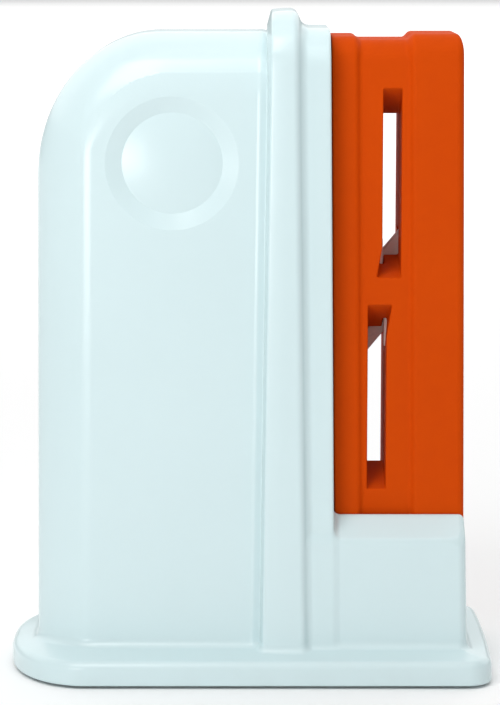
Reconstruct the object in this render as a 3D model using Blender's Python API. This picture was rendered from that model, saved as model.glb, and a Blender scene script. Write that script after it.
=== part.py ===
"""Desktop scissor sharpener.

A white one-piece housing stands on a flange base. An orange guide insert in two halves stands in the
block at its right. Between the halves, four ceramic stones form two sharpening notches, one for each slot.

X points to the right, Y away from the front and Z up. The origin is on the table, under the middle of the
base. All lengths are in metres.
"""

import bmesh
import bpy
from math import cos, pi, radians, sin, sqrt, tan
from mathutils import Matrix, Vector

# Fits shared by the whole assembly
GAP = 0.0003                    # left between parts that touch
OVERRUN = 0.002                 # how far a cutter runs past the face that it opens
WALL = 0.0022                   # moulded wall of the housing
STAGGER = 0.0004                # step between the sunk ends of solids that are joined
WELD = 0.000001                 # points closer than this are one point
SHARP_ANGLE = radians(30)       # edges that turn by more than this are shaded as corners
MOULD_DRAFT = radians(0.57)     # lean of the tall moulded walls
ARC_STEPS = 5                   # straight pieces in a small quarter round
LONG_ARC_STEPS = 10             # straight pieces in a wide one
TOTAL_HEIGHT = 0.140            # top of the band above the table

# Base of the housing, with the plate and the feet under it
BASE_WIDTH = 0.1024
BASE_DEPTH = 0.052
BASE_LEFT_ROUND_X = 0.017       # the left corners are quarter ellipses
BASE_LEFT_STRAIGHT = 0.004      # between the two left corners
BASE_RIGHT_ROUND = 0.0052
BASE_LEAST_ROUND = 0.0013       # the right corners keep this much where the outline is drawn in
BASE_END_BOW = 0.0007           # how far the right end swells out at its middle
BOW_SHARES = (0.0, 0.35, 0.7)   # of the way from the right end's middle to its corner
RIM_ROUND = 0.0014
RIM_FOOT_BEVEL = 0.0004
FLANGE_SLOPE = radians(13)
FLANGE_REACH = 0.0039           # how far the sloping top runs in past the handle's face
FOOT_PROUD = 0.0006             # how far the feet lift the housing
FOOT_HEIGHT = 0.0018
FOOT_RADIUS = 0.0045
FOOT_ROUND = 0.0003
FOOT_SIDES = 20
FOOT_LEFT_END_INSET = 0.0127    # from the base's ends and its long sides to the feet
FOOT_LEFT_SIDE_INSET = 0.0115
FOOT_RIGHT_END_INSET = 0.0087
FOOT_RIGHT_SIDE_INSET = 0.0095
PLATE_RECESS = 0.0003
PLATE_THICKNESS = 0.0024

# Band that runs up the front, over the top and down the back
BAND_X = 0.0071
BAND_HALF_WIDTH = 0.0045        # at the table
BAND_TAPER = radians(0.82)
BAND_PROUD = 0.0020             # in front of the tower's face
BAND_ROUND = 0.0104
BAND_SIDE_RUN = 0.0014          # how far its side walls spread from crest to root
BAND_ROOT_DEPTH = 0.0036
BAND_ROOT_DROP = 0.0046

# Handle, the wide left part of the housing
HANDLE_LEFT_MARGIN = 0.0058     # from the base's left end to the handle's side, at the table
HANDLE_SETBACK = 0.0008         # its raised face lies this far behind the tower's face
HANDLE_TOP_DROP = 0.0044        # below the top of the band
HANDLE_ARC_WIDTH = 0.0257
HANDLE_ARC_HEIGHT = 0.030
PLATEAU_SIDE_MARGIN = 0.0105    # from the left side to the raised front face
PLATEAU_TOP_MARGIN = 0.0071
PLATEAU_ARC = 0.017
PLATEAU_TO_BAND = 0.0072        # from the raised face to the middle of the band, at the table
VALLEY_RUN = 0.0022             # over this width the raised face falls off towards the band
HANDLE_DEPTH_SHARES = (0.40, 0.56, 0.70, 0.86, 0.95, 0.97, 1.0)
HANDLE_INSET_SHARES = (0.0, 0.10, 0.27, 0.58, 0.84, 0.91, 1.0)

# Thumb recess, on the front and on the back
DIMPLE_TO_BAND = 0.0231         # between the middles of the recess and of the band
DIMPLE_DROP = 0.0310            # from the top of the band to the recess's middle
DIMPLE_RADIUS = 0.01375
DIMPLE_FLOOR_RADIUS = 0.0104
DIMPLE_DEPTH = 0.0011
DIMPLE_DOME = 0.0008
DIMPLE_SIDES = 40
DIMPLE_DOME_SHARES = (0.0, 0.36, 0.7, 1.0)

# Tower beside the insert and block below it, in one with the housing
TOWER_WIDTH = 0.0108            # from the band's middle to the right wall, at the table
TOWER_HALF_DEPTH = 0.0188
TOWER_TOP_DROP = 0.00355        # below the top of the band
TOWER_ROUND = 0.0079
BLOCK_RIGHT_MARGIN = 0.0053     # from the base's right end to the block, at the table
BLOCK_DRAFT = radians(1.3)
BLOCK_CORNER = 0.0018
SHELF_Z = 0.0315
LIP_RISE = 0.0032               # of the lip's crest above the shelf
LIP_FALL = 0.0045               # from the crest to the front edge
LIP_CREST = 0.0004              # flat top of the lip beside the insert
LIP_END_ROUND = 0.0014
LIP_FILLET = 0.0016

# Insert
INSERT_HALF_DEPTH = 0.0130
INSERT_TOP_DROP = 0.0048        # below the top of the band
INSERT_TOP_ROUND = 0.0042
INSERT_END_ROUND = 0.0015
INSERT_END_DROP = 0.0043
STRIP_WIDTH = 0.0049            # from the tower to the channel
STRIP_DROP = 0.00045            # the left strip's top is this much lower
CHANNEL_WIDTH = 0.0100
CHANNEL_DEPTH = 0.0010
CHANNEL_TOP_DEPTH = 0.0012
CHANNEL_SIDE_RUN = 0.0010

# Slots in the insert: a wide mouth in each face, and a throat between the stones
SLOT_WIDTH = 0.0043
UPPER_SLOT_INSET = 0.0071       # from the channel's left side to the middle of the slot
LOWER_SLOT_INSET = 0.00375
SLOT_TOP_MARGIN = 0.0111        # from the insert's top to the upper mouth
SLOT_FLOOR_MARGIN = 0.0083      # from the shelf to the lower mouth
BRIDGE_HEIGHT = 0.0053          # between the two mouths
UPPER_LENGTH_SHARE = 0.504      # of the height that both mouths take up
UPPER_TOP_SLOPE = 0.0061        # from each end of a mouth to the same end of its throat
UPPER_FLOOR_SLOPE = 0.0040
LOWER_TOP_SLOPE = 0.0062
LOWER_FLOOR_SLOPE = 0.0036
FLARE_WIDTH = 0.0012
FLARE_HEIGHT = 0.0064

# Stones
STONE_DEPTH = 0.0040
STONE_BEVEL = 0.0002
STONE_FIT = 0.0003              # room round a stone in its pocket
BEVEL_STONE_LENGTH = 0.0090
BEVEL_STONE_THICKNESS = 0.0030
BEVEL_STONE_TILT = radians(40)
UPPER_STONE_RISE = 0.0027       # from the throat's end to the bevel stone's face, mid-slot
LOWER_STONE_RISE = 0.0035
FLAT_STONE_THICKNESS = 0.0024
FLAT_STONE_LENGTH = 0.0068
FLAT_STONE_PROUD = 0.0003
FLAT_STONE_RISE = 0.0003        # from the throat's end to the flat stone's middle

# Hidden parts of the insert: coring pockets, locating pins and snap hooks
CORE_WALL = 0.0024
CORE_FLOOR_RISE = 0.0150        # of the lower pocket's floor above the shelf
CORE_RIB = 0.0070
PIN_RADIUS = 0.0015
PIN_LENGTH = 0.0030
PIN_SIDES = 12
PIN_LEFT_INSET = 0.0031         # from the insert's left side to the left pins
HOOK_INNER_Y = 0.0022
HOOK_THICKNESS = 0.0014
HOOK_BARB = 0.0009
HOOK_NOSE = 0.0016
HOOK_HEIGHT = 0.010
HOOK_STEP = 0.010               # from a left pin to the hook beyond it

# Screws and their bosses
SCREW_SIDES = 12
SHANK_RADIUS = 0.0011
SHANK_FIT = 0.0002
SHANK_TIP = 0.0012
TIP_RADIUS = 0.0004
HEAD_RADIUS = 0.0027
HEAD_HEIGHT = 0.0012
HEAD_ROUND = 0.0003
HEAD_FIT = 0.0005
CROSS_REACH_SHARE = 0.55        # of the head's radius
CROSS_WIDTH_SHARE = 0.17
CROSS_DEPTH_SHARE = 0.6         # of the head's height
PLATE_SCREW_LENGTH = 0.010
INSERT_SCREW_LENGTH = 0.0115
HOLE_END_ROOM = 0.001
BOSS_RADIUS = 0.0032
BOSS_HEIGHT = 0.018
BOSS_SIDES = 16
BOSS_WEB = 0.0016
BOSS_INSET = 0.0051             # from the front of the handle or of the tower
FOOT_TO_BOSS = 0.0112           # along X
INSERT_SCREW_INSET = 0.0033     # from the insert's left side to the left screws
INSERT_SCREW_TO_WALL = 0.0014   # from a right screw's head to the block's right wall
INSERT_SCREW_Y = 0.0072

# Places along X that follow from the sizes above
HANDLE_LEFT_X = -BASE_WIDTH / 2 + HANDLE_LEFT_MARGIN
PLATEAU_RIGHT_X = BAND_X - PLATEAU_TO_BAND
DIMPLE_X = BAND_X - DIMPLE_TO_BAND
SEAM_X = BAND_X                 # the handle and the tower meet here, under the band
TOWER_RIGHT_X = BAND_X + TOWER_WIDTH
BLOCK_RIGHT_X = BASE_WIDTH / 2 - BLOCK_RIGHT_MARGIN
CHANNEL_LEFT_X = TOWER_RIGHT_X + STRIP_WIDTH
CHANNEL_RIGHT_X = CHANNEL_LEFT_X + CHANNEL_WIDTH
UPPER_SLOT_X = CHANNEL_LEFT_X + UPPER_SLOT_INSET
LOWER_SLOT_X = CHANNEL_LEFT_X + LOWER_SLOT_INSET
LEFT_FOOT_X = FOOT_LEFT_END_INSET - BASE_WIDTH / 2
RIGHT_FOOT_X = BASE_WIDTH / 2 - FOOT_RIGHT_END_INSET
LEFT_BOSS_X = LEFT_FOOT_X + FOOT_TO_BOSS
RIGHT_BOSS_X = RIGHT_FOOT_X - FOOT_TO_BOSS

# Depths along Y
HANDLE_HALF_DEPTH = TOWER_HALF_DEPTH - HANDLE_SETBACK
BAND_HALF_DEPTH = TOWER_HALF_DEPTH + BAND_PROUD
FLANGE_RUN = BASE_DEPTH / 2 - RIM_ROUND - HANDLE_HALF_DEPTH + FLANGE_REACH
RECESS_HALF_DEPTH = INSERT_HALF_DEPTH + GAP
MATING_Y = GAP / 2

# Heights
RIM_BOTTOM_Z = FOOT_PROUD
PLATE_BOTTOM_Z = RIM_BOTTOM_Z + PLATE_RECESS
PLATE_TOP_Z = PLATE_BOTTOM_Z + PLATE_THICKNESS
FLANGE_CEILING_Z = PLATE_TOP_Z + GAP
FLANGE_EDGE_Z = FLANGE_CEILING_Z + WALL
BOSS_BOTTOM_Z = PLATE_TOP_Z + GAP
HANDLE_TOP_Z = TOTAL_HEIGHT - HANDLE_TOP_DROP
DIMPLE_Z = TOTAL_HEIGHT - DIMPLE_DROP
TOWER_TOP_Z = TOTAL_HEIGHT - TOWER_TOP_DROP
LIP_TOP_Z = SHELF_Z + LIP_RISE
LIP_FRONT_Z = LIP_TOP_Z - LIP_FALL
INSERT_FOOT_Z = SHELF_Z + GAP
INSERT_TOP_Z = TOTAL_HEIGHT - INSERT_TOP_DROP
UPPER_MOUTH_TOP_Z = INSERT_TOP_Z - SLOT_TOP_MARGIN
LOWER_MOUTH_FLOOR_Z = SHELF_Z + SLOT_FLOOR_MARGIN
UPPER_MOUTH_FLOOR_Z = UPPER_MOUTH_TOP_Z - UPPER_LENGTH_SHARE * (
    UPPER_MOUTH_TOP_Z - LOWER_MOUTH_FLOOR_Z - BRIDGE_HEIGHT)
LOWER_MOUTH_TOP_Z = UPPER_MOUTH_FLOOR_Z - BRIDGE_HEIGHT
UPPER_THROAT_TOP_Z = UPPER_MOUTH_TOP_Z - UPPER_TOP_SLOPE
UPPER_THROAT_FLOOR_Z = UPPER_MOUTH_FLOOR_Z + UPPER_FLOOR_SLOPE
LOWER_THROAT_TOP_Z = LOWER_MOUTH_TOP_Z - LOWER_TOP_SLOPE
LOWER_THROAT_FLOOR_Z = LOWER_MOUTH_FLOOR_Z + LOWER_FLOOR_SLOPE
CORE_FLOOR_Z = SHELF_Z + CORE_FLOOR_RISE
CORE_TOP_Z = INSERT_TOP_Z - INSERT_TOP_ROUND - CORE_WALL / 2
CORE_MIDDLE_Z = (CORE_FLOOR_Z + CORE_TOP_Z) / 2
PIN_UPPER_Z = (UPPER_THROAT_FLOOR_Z + UPPER_THROAT_TOP_Z) / 2
PIN_LOWER_Z = (LOWER_THROAT_FLOOR_Z + LOWER_THROAT_TOP_Z) / 2
HOOK_UPPER_Z = PIN_UPPER_Z + HOOK_STEP
HOOK_LOWER_Z = PIN_LOWER_Z - HOOK_STEP
PLATE_SCREW_TIP_Z = PLATE_BOTTOM_Z + HEAD_HEIGHT + PLATE_SCREW_LENGTH
INSERT_SCREW_HEAD_Z = SHELF_Z - WALL - GAP - HEAD_HEIGHT
INSERT_SCREW_TIP_Z = INSERT_SCREW_HEAD_Z + HEAD_HEIGHT + INSERT_SCREW_LENGTH


def clear_scene():
    for item in list(bpy.data.objects):
        bpy.data.objects.remove(item, do_unlink=True)


def plastic(name, colour, roughness, metallic=0.0):
    """A Principled material."""
    material = bpy.data.materials.new(name)
    material.use_nodes = True
    shader = material.node_tree.nodes["Principled BSDF"]
    shader.inputs["Base Color"].default_value = (*colour, 1.0)
    shader.inputs["Roughness"].default_value = roughness
    shader.inputs["Metallic"].default_value = metallic
    material.diffuse_color = (*colour, 1.0)
    return material


def object_from(bm, name, material=None):
    """Turn a bmesh into an object in the scene, with its faces pointing out."""
    bmesh.ops.remove_doubles(bm, verts=bm.verts, dist=WELD)
    bmesh.ops.recalc_face_normals(bm, faces=bm.faces)
    mesh = bpy.data.meshes.new(name)
    bm.to_mesh(mesh)
    bm.free()
    mesh.shade_smooth()
    mesh.set_sharp_from_angle(angle=SHARP_ANGLE)
    item = bpy.data.objects.new(name, mesh)
    bpy.context.scene.collection.objects.link(item)
    if material:
        mesh.materials.append(material)
    return item


def loft(name, rings, material=None):
    """One closed solid through rings of points, all with the same count, capped at both ends."""
    bm = bmesh.new()
    rows = [[bm.verts.new(point) for point in ring] for ring in rings]
    for near, far in zip(rows, rows[1:]):
        for i, corner in enumerate(near):
            j = (i + 1) % len(near)
            bm.faces.new((corner, near[j], far[j], far[i]))
    bm.faces.new(rows[0])
    bm.faces.new(rows[-1])
    bm.normal_update()
    bmesh.ops.triangulate(bm, faces=bm.faces)
    return object_from(bm, name, material)


def box(name, low, high):
    """A box between two corners."""
    low, high = Vector(low), Vector(high)
    bm = bmesh.new()
    size = Matrix.Diagonal((*(high - low), 1))
    bmesh.ops.create_cube(bm, size=1, matrix=Matrix.Translation((low + high) / 2) @ size)
    return object_from(bm, name)


def post(name, x, y, radius, low, high, sides):
    """An upright cylinder."""
    bm = bmesh.new()
    middle = Matrix.Translation((x, y, (low + high) / 2))
    bmesh.ops.create_cone(bm, cap_ends=True, segments=sides, radius1=radius, radius2=radius,
                          depth=high - low, matrix=middle)
    return object_from(bm, name)


def join(target, tool, operation):
    """Keep a Boolean on the target, and put its tool out of the way."""
    cut = target.modifiers.new(tool.name, 'BOOLEAN')
    cut.operation = operation
    cut.solver = 'EXACT'
    cut.object = tool
    tool.hide_render = True
    tool.display_type = 'WIRE'


def add(target, tool):
    join(target, tool, 'UNION')


def cut(target, tool):
    join(target, tool, 'DIFFERENCE')


def leaning(x, draft, z):
    """Where a wall that leans by its draft stands at height z, from its place at the table."""
    return x + tan(draft) * z


def tower_wall(z):
    return leaning(TOWER_RIGHT_X, -MOULD_DRAFT, z)


def block_wall(z):
    return leaning(BLOCK_RIGHT_X, -BLOCK_DRAFT, z)


def insert_left(z):
    return tower_wall(z) + GAP


def insert_right(z):
    """The insert's right side starts flush with the block at the shelf."""
    return block_wall(SHELF_Z) - tan(MOULD_DRAFT) * (z - SHELF_Z)


# Base

def base_outline(inset, z):
    """Plan of the base, drawn in by an inset: wide round corners at the left, small ones at the right."""
    half_width = BASE_WIDTH / 2 - inset
    half_depth = BASE_DEPTH / 2 - inset
    left_x = BASE_LEFT_ROUND_X - inset
    left_y = half_depth - BASE_LEFT_STRAIGHT / 2
    right = max(BASE_RIGHT_ROUND - inset, BASE_LEAST_ROUND)
    corner_x = half_width - BASE_END_BOW
    corner_y = half_depth - right
    rear = [(half_width - BASE_END_BOW * share * share, corner_y * share, z) for share in BOW_SHARES]
    for step in range(ARC_STEPS + 1):
        angle = pi / 2 * step / ARC_STEPS
        rear.append((corner_x - right + right * cos(angle), corner_y + right * sin(angle), z))
    for step in range(LONG_ARC_STEPS + 1):
        angle = pi / 2 * step / LONG_ARC_STEPS
        rear.append((-half_width + left_x * (1 - sin(angle)), half_depth - left_y * (1 - cos(angle)), z))
    front = [(x, -y, z) for x, y, z in reversed(rear[1:])]
    return rear + front


def flange_rings():
    """Rim with a small foot bevel, a round top edge and a sloping top."""
    rings = [base_outline(RIM_FOOT_BEVEL, RIM_BOTTOM_Z), base_outline(0, RIM_BOTTOM_Z + RIM_FOOT_BEVEL)]
    for step in range(ARC_STEPS + 1):
        angle = pi / 2 * step / ARC_STEPS
        inset = RIM_ROUND * (1 - cos(angle))
        rings.append(base_outline(inset, FLANGE_EDGE_Z - RIM_ROUND * (1 - sin(angle))))
    rings.append(base_outline(RIM_ROUND + FLANGE_RUN, FLANGE_EDGE_Z + tan(FLANGE_SLOPE) * FLANGE_RUN))
    return rings


def flange_hollow_rings():
    return [base_outline(WALL, RIM_BOTTOM_Z - OVERRUN),
            base_outline(WALL, FLANGE_CEILING_Z),
            base_outline(WALL + FLANGE_RUN, FLANGE_CEILING_Z + tan(FLANGE_SLOPE) * FLANGE_RUN)]


# Handle

def handle_outline(side_margin, top_margin, arc_width, arc_height, foot_z, right):
    """Front view of the handle or of its raised face, from the left foot over the top to the right one."""
    top = HANDLE_TOP_Z - top_margin
    arc_foot = top - arc_height
    left = HANDLE_LEFT_X + side_margin
    points = [(leaning(left, MOULD_DRAFT, foot_z), foot_z)]
    for step in range(LONG_ARC_STEPS + 1):
        angle = pi / 2 * step / LONG_ARC_STEPS
        x = leaning(left, MOULD_DRAFT, arc_foot) + arc_width * (1 - cos(angle))
        points.append((x, arc_foot + arc_height * sin(angle)))
    points.append((right(top), top))
    points.append((right(foot_z), foot_z))
    return points


def handle_ring(depth_share, inset_share, wall, foot_z, right):
    """One slice of the handle: part of the way from its full outline to that of its raised face."""
    full = handle_outline(wall, wall, HANDLE_ARC_WIDTH - wall, HANDLE_ARC_HEIGHT - wall, foot_z, right)
    raised = handle_outline(PLATEAU_SIDE_MARGIN + wall, PLATEAU_TOP_MARGIN + wall,
                            PLATEAU_ARC - wall, PLATEAU_ARC - wall, foot_z, right)
    y = depth_share * (HANDLE_HALF_DEPTH - wall)
    ring = []
    for (full_x, full_z), (raised_x, raised_z) in zip(full, raised):
        x = full_x + (raised_x - full_x) * inset_share
        ring.append((x, y, full_z + (raised_z - full_z) * inset_share))
    return ring


def under_band(z):
    return SEAM_X + STAGGER


def plateau_right(z):
    return leaning(PLATEAU_RIGHT_X, BAND_TAPER, z)


def valley_left(z):
    return plateau_right(z) + VALLEY_RUN


def mirrored(rings):
    """Rings from the middle to the rear, led by the same rings from the front to the middle."""
    front = [[(x, -y, z) for x, y, z in ring] for ring in reversed(rings)]
    return front + rings


def handle_rings(foot_z):
    """The raised face ends short of the band, and a shallow valley lies between them."""
    right_edges = [under_band] * (len(HANDLE_DEPTH_SHARES) - 2) + [valley_left, plateau_right]
    rings = []
    for depth, inset, right in zip(HANDLE_DEPTH_SHARES, HANDLE_INSET_SHARES, right_edges):
        rings.append(handle_ring(depth, inset, 0, foot_z, right))
    return mirrored(rings)


def handle_hollow_rings(foot_z):
    shares = zip(HANDLE_DEPTH_SHARES, HANDLE_INSET_SHARES)
    return mirrored([handle_ring(depth, inset, WALL, foot_z, under_band) for depth, inset in shares])


def dimple_cutter(side):
    """Thumb recess: a sloping ring wall round a gently domed floor."""
    spread = (DIMPLE_RADIUS - DIMPLE_FLOOR_RADIUS) / DIMPLE_DEPTH
    profile = []
    for share in DIMPLE_DOME_SHARES:
        rise = DIMPLE_DOME * (1 - share * share)
        profile.append((DIMPLE_FLOOR_RADIUS * share, DIMPLE_DEPTH - rise))
    profile.append((DIMPLE_RADIUS + spread * OVERRUN / 2, -OVERRUN / 2))
    bm = bmesh.new()
    rows = []
    for radius, depth in profile[1:]:
        y = side * (HANDLE_HALF_DEPTH - depth)
        row = []
        for step in range(DIMPLE_SIDES):
            angle = 2 * pi * step / DIMPLE_SIDES
            row.append(bm.verts.new((DIMPLE_X + radius * cos(angle), y, DIMPLE_Z + radius * sin(angle))))
        rows.append(row)
    tip = bm.verts.new((DIMPLE_X, side * (HANDLE_HALF_DEPTH - profile[0][1]), DIMPLE_Z))
    for i in range(DIMPLE_SIDES):
        j = (i + 1) % DIMPLE_SIDES
        bm.faces.new((tip, rows[0][i], rows[0][j]))
        for near, far in zip(rows, rows[1:]):
            bm.faces.new((near[i], far[i], far[j], near[j]))
    bm.faces.new(rows[-1])
    return object_from(bm, "dimple_cutter")


# Band, tower and block

def arch(half_depth, top, foot_z, round_y, round_z):
    """Outline in Y and Z of a body with its two top edges rounded, from the front foot to the rear one."""
    front = [(-half_depth, foot_z)]
    for step in range(ARC_STEPS + 1):
        angle = pi / 2 * step / ARC_STEPS
        front.append((-half_depth + round_y * (1 - cos(angle)), top - round_z * (1 - sin(angle))))
    return front + [(-y, z) for y, z in reversed(front)]


def band_side(side, spread, z):
    return BAND_X + side * (BAND_HALF_WIDTH + spread - tan(BAND_TAPER) * z)


def band_rings(foot_z):
    """Root, crest, crest and root again, from the left to the right."""
    crest = arch(BAND_HALF_DEPTH, TOTAL_HEIGHT, foot_z, BAND_ROUND, BAND_ROUND)
    root = arch(BAND_HALF_DEPTH - BAND_ROOT_DEPTH, TOTAL_HEIGHT - BAND_ROOT_DROP, foot_z,
                BAND_ROUND - BAND_ROOT_DEPTH, BAND_ROUND - BAND_ROOT_DEPTH)
    plan = ((-1, BAND_SIDE_RUN, root), (-1, 0, crest), (1, 0, crest), (1, BAND_SIDE_RUN, root))
    return [[(band_side(side, spread, z), y, z) for y, z in outline] for side, spread, outline in plan]


def rounded_drop(y, half_depth, radius):
    """How far a round edge has fallen away at depth y."""
    into = max(0, y - (half_depth - radius))
    return radius - sqrt(max(0, radius * radius - into * into))


def lip_height(y):
    slope = (LIP_TOP_Z - LIP_FRONT_Z) / (TOWER_HALF_DEPTH - RECESS_HALF_DEPTH - LIP_CREST)
    return min(LIP_TOP_Z, LIP_FRONT_Z + slope * (TOWER_HALF_DEPTH - y))


def tower_ring(y, foot_z, ledge_z, fillet):
    """Front view of the tower and the block at depth y, as one L-shaped outline."""
    top = TOWER_TOP_Z - rounded_drop(y, TOWER_HALF_DEPTH, TOWER_ROUND)
    end = rounded_drop(y, TOWER_HALF_DEPTH, BLOCK_CORNER)
    outline = [(SEAM_X, foot_z), (SEAM_X, top), (tower_wall(top), top)]
    for step in range(ARC_STEPS + 1):
        angle = pi / 2 * step / ARC_STEPS
        z = ledge_z + fillet * (1 - sin(angle))
        outline.append((tower_wall(z) + fillet * (1 - cos(angle)), z))
    for step in range(ARC_STEPS + 1):
        angle = pi / 2 * step / ARC_STEPS
        z = ledge_z - LIP_END_ROUND * (1 - cos(angle))
        outline.append((block_wall(z) - end - LIP_END_ROUND * (1 - sin(angle)), z))
    outline.append((block_wall(foot_z) - end, foot_z))
    return [(x, y, z) for x, z in outline]


def tower_rings(foot_z):
    """Slices from the recess that takes the insert out to the front face, and the same to the back."""
    shelf = [0, TOWER_HALF_DEPTH - TOWER_ROUND, RECESS_HALF_DEPTH]
    lip = [RECESS_HALF_DEPTH, RECESS_HALF_DEPTH + LIP_CREST, TOWER_HALF_DEPTH - BLOCK_CORNER]
    for step in range(1, ARC_STEPS):
        angle = pi / 2 * step / ARC_STEPS
        y = TOWER_HALF_DEPTH - TOWER_ROUND * (1 - cos(angle))
        if y > RECESS_HALF_DEPTH + LIP_CREST:
            lip.append(y)
        elif y < RECESS_HALF_DEPTH:
            shelf.append(y)
        corner = TOWER_HALF_DEPTH - BLOCK_CORNER * (1 - cos(angle))
        lip.append(corner)
    lip.append(TOWER_HALF_DEPTH)
    rings = [tower_ring(y, foot_z, SHELF_Z, 0) for y in sorted(shelf)[1:]]
    rings += [tower_ring(y, foot_z, lip_height(y), LIP_FILLET) for y in sorted(lip)]
    return mirrored(rings)


def tower_hollow_ring(y, half_depth, foot_z):
    top = TOWER_TOP_Z - WALL - rounded_drop(y, half_depth, TOWER_ROUND - WALL)
    ceiling = SHELF_Z - WALL
    outline = [(SEAM_X, foot_z), (SEAM_X, top), (tower_wall(top) - WALL, top),
               (tower_wall(ceiling) - WALL, ceiling), (block_wall(ceiling) - WALL, ceiling),
               (block_wall(foot_z) - WALL, foot_z)]
    return [(x, y, z) for x, z in outline]


def tower_hollow_rings(foot_z):
    half_depth = TOWER_HALF_DEPTH - WALL
    rings = []
    for step in reversed(range(ARC_STEPS + 1)):
        angle = pi / 2 * step / ARC_STEPS
        y = half_depth - (TOWER_ROUND - WALL) * (1 - cos(angle))
        rings.append(tower_hollow_ring(y, half_depth, foot_z))
    return mirrored(rings)


def boss_places():
    """The four bosses for the plate's screws, by name."""
    places = {}
    for depth, side in (("front", -1), ("rear", 1)):
        places[depth + "_left"] = (LEFT_BOSS_X, side * (HANDLE_HALF_DEPTH - BOSS_INSET))
        places[depth + "_right"] = (RIGHT_BOSS_X, side * (TOWER_HALF_DEPTH - BOSS_INSET))
    return places


def insert_screw_places():
    """The four screws that hold the insert down: in its left strip and in its right column."""
    left = insert_left(INSERT_FOOT_Z) + INSERT_SCREW_INSET
    right = block_wall(INSERT_SCREW_HEAD_Z) - WALL - INSERT_SCREW_TO_WALL - HEAD_RADIUS
    places = {}
    for depth, side in (("front", -1), ("rear", 1)):
        places[depth + "_left"] = (left, side * INSERT_SCREW_Y)
        places[depth + "_right"] = (right, side * INSERT_SCREW_Y)
    return places


def make_hollow():
    """The room inside the housing, less the bosses and the webs that stand in it."""
    start = FLANGE_CEILING_Z + STAGGER
    hollow = loft("hollow", flange_hollow_rings())
    add(hollow, loft("handle_hollow", handle_hollow_rings(start)))
    add(hollow, loft("tower_hollow", tower_hollow_rings(start + STAGGER)))
    for name, (x, y) in boss_places().items():
        top = BOSS_BOTTOM_Z + BOSS_HEIGHT
        cut(hollow, post("boss_" + name, x, y, BOSS_RADIUS, BOSS_BOTTOM_Z, top, BOSS_SIDES))
        outer = BASE_DEPTH / 2 if y > 0 else -BASE_DEPTH / 2
        low_y, high_y = sorted((y, outer))
        cut(hollow, box("web_" + name, (x - BOSS_WEB / 2, low_y, BOSS_BOTTOM_Z + STAGGER),
                        (x + BOSS_WEB / 2, high_y, top - STAGGER)))
    return hollow


def make_housing(material):
    foot_z = RIM_BOTTOM_Z + STAGGER
    housing = loft("housing", flange_rings(), material)
    add(housing, loft("handle_body", handle_rings(foot_z)))
    add(housing, loft("tower_body", tower_rings(foot_z + STAGGER)))
    add(housing, loft("band_body", band_rings(foot_z + 2 * STAGGER)))
    cut(housing, make_hollow())
    for side in (-1, 1):
        cut(housing, dimple_cutter(side))
    for x, y in boss_places().values():
        cut(housing, post("boss_hole", x, y, SHANK_RADIUS + SHANK_FIT, BOSS_BOTTOM_Z - OVERRUN,
                          PLATE_SCREW_TIP_Z + HOLE_END_ROOM, SCREW_SIDES))
    for x, y in insert_screw_places().values():
        cut(housing, post("shelf_hole", x, y, SHANK_RADIUS + SHANK_FIT + GAP / 2, SHELF_Z - WALL - OVERRUN,
                          SHELF_Z + OVERRUN, SCREW_SIDES))
    for z in (HOOK_LOWER_Z, HOOK_UPPER_Z):
        half_y = HOOK_INNER_Y + HOOK_THICKNESS + HOOK_BARB
        half_z = HOOK_HEIGHT / 2 + GAP
        cut(housing, box("hook_window", (tower_wall(z) - WALL - OVERRUN, -half_y, z - half_z),
                         (tower_wall(z) + OVERRUN, half_y, z + half_z)))
    return housing


# Insert

def insert_stations():
    """Slices of the insert from left to right: place, drop of the top and loss of depth at each."""
    strip_edge = CHANNEL_LEFT_X - CHANNEL_SIDE_RUN
    stations = [(insert_left, STRIP_DROP, 0),
                (lambda z: strip_edge, STRIP_DROP, 0),
                (lambda z: CHANNEL_LEFT_X, CHANNEL_TOP_DEPTH, CHANNEL_DEPTH),
                (lambda z: CHANNEL_RIGHT_X, CHANNEL_TOP_DEPTH, CHANNEL_DEPTH),
                (lambda z: CHANNEL_RIGHT_X + CHANNEL_SIDE_RUN, 0, 0)]
    for step in range(ARC_STEPS + 1):
        angle = pi / 2 * step / ARC_STEPS
        back = INSERT_END_ROUND * (1 - sin(angle))
        fall = 1 - cos(angle)
        stations.append((lambda z, back=back: insert_right(z) - back,
                         INSERT_END_DROP * fall, INSERT_END_ROUND * fall))
    return stations


def insert_body(name, side, material):
    rings = []
    for place, drop, loss in insert_stations():
        half_depth = INSERT_HALF_DEPTH - loss
        outline = arch(half_depth, INSERT_TOP_Z - drop, INSERT_FOOT_Z, INSERT_TOP_ROUND, INSERT_TOP_ROUND)
        outer = outline[:len(outline) // 2]
        closed = [(-MATING_Y, INSERT_FOOT_Z)] + outer + [(-MATING_Y, INSERT_TOP_Z - drop)]
        rings.append([(place(z), -side * y, z) for y, z in closed])
    return loft(name, rings, material)


def slot_cutter(side, x, mouth, throat, flare_side):
    """Slot through one half: its ends slope in to the throat, and one wall flares near the stones."""
    half = SLOT_WIDTH / 2
    rings = []
    for y, (floor, top), flare in ((INSERT_HALF_DEPTH, mouth, FLARE_WIDTH), (0, throat, 0)):
        flared_wall = x + flare_side * half
        plain_wall = x - flare_side * half
        if flare_side < 0:
            end, start = floor, floor + FLARE_HEIGHT
            far_end = top
        else:
            end, start = top, top - FLARE_HEIGHT
            far_end = floor
        rings.append([(flared_wall + flare_side * flare, side * y, end), (flared_wall, side * y, start),
                      (flared_wall, side * y, far_end), (plain_wall, side * y, far_end),
                      (plain_wall, side * y, end)])
    outside = [(x, y + side * OVERRUN, z) for x, y, z in rings[0]]
    inside = [(x, y - side * OVERRUN, z) for x, y, z in rings[1]]
    return loft("slot_cutter", [outside] + rings + [inside])


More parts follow.
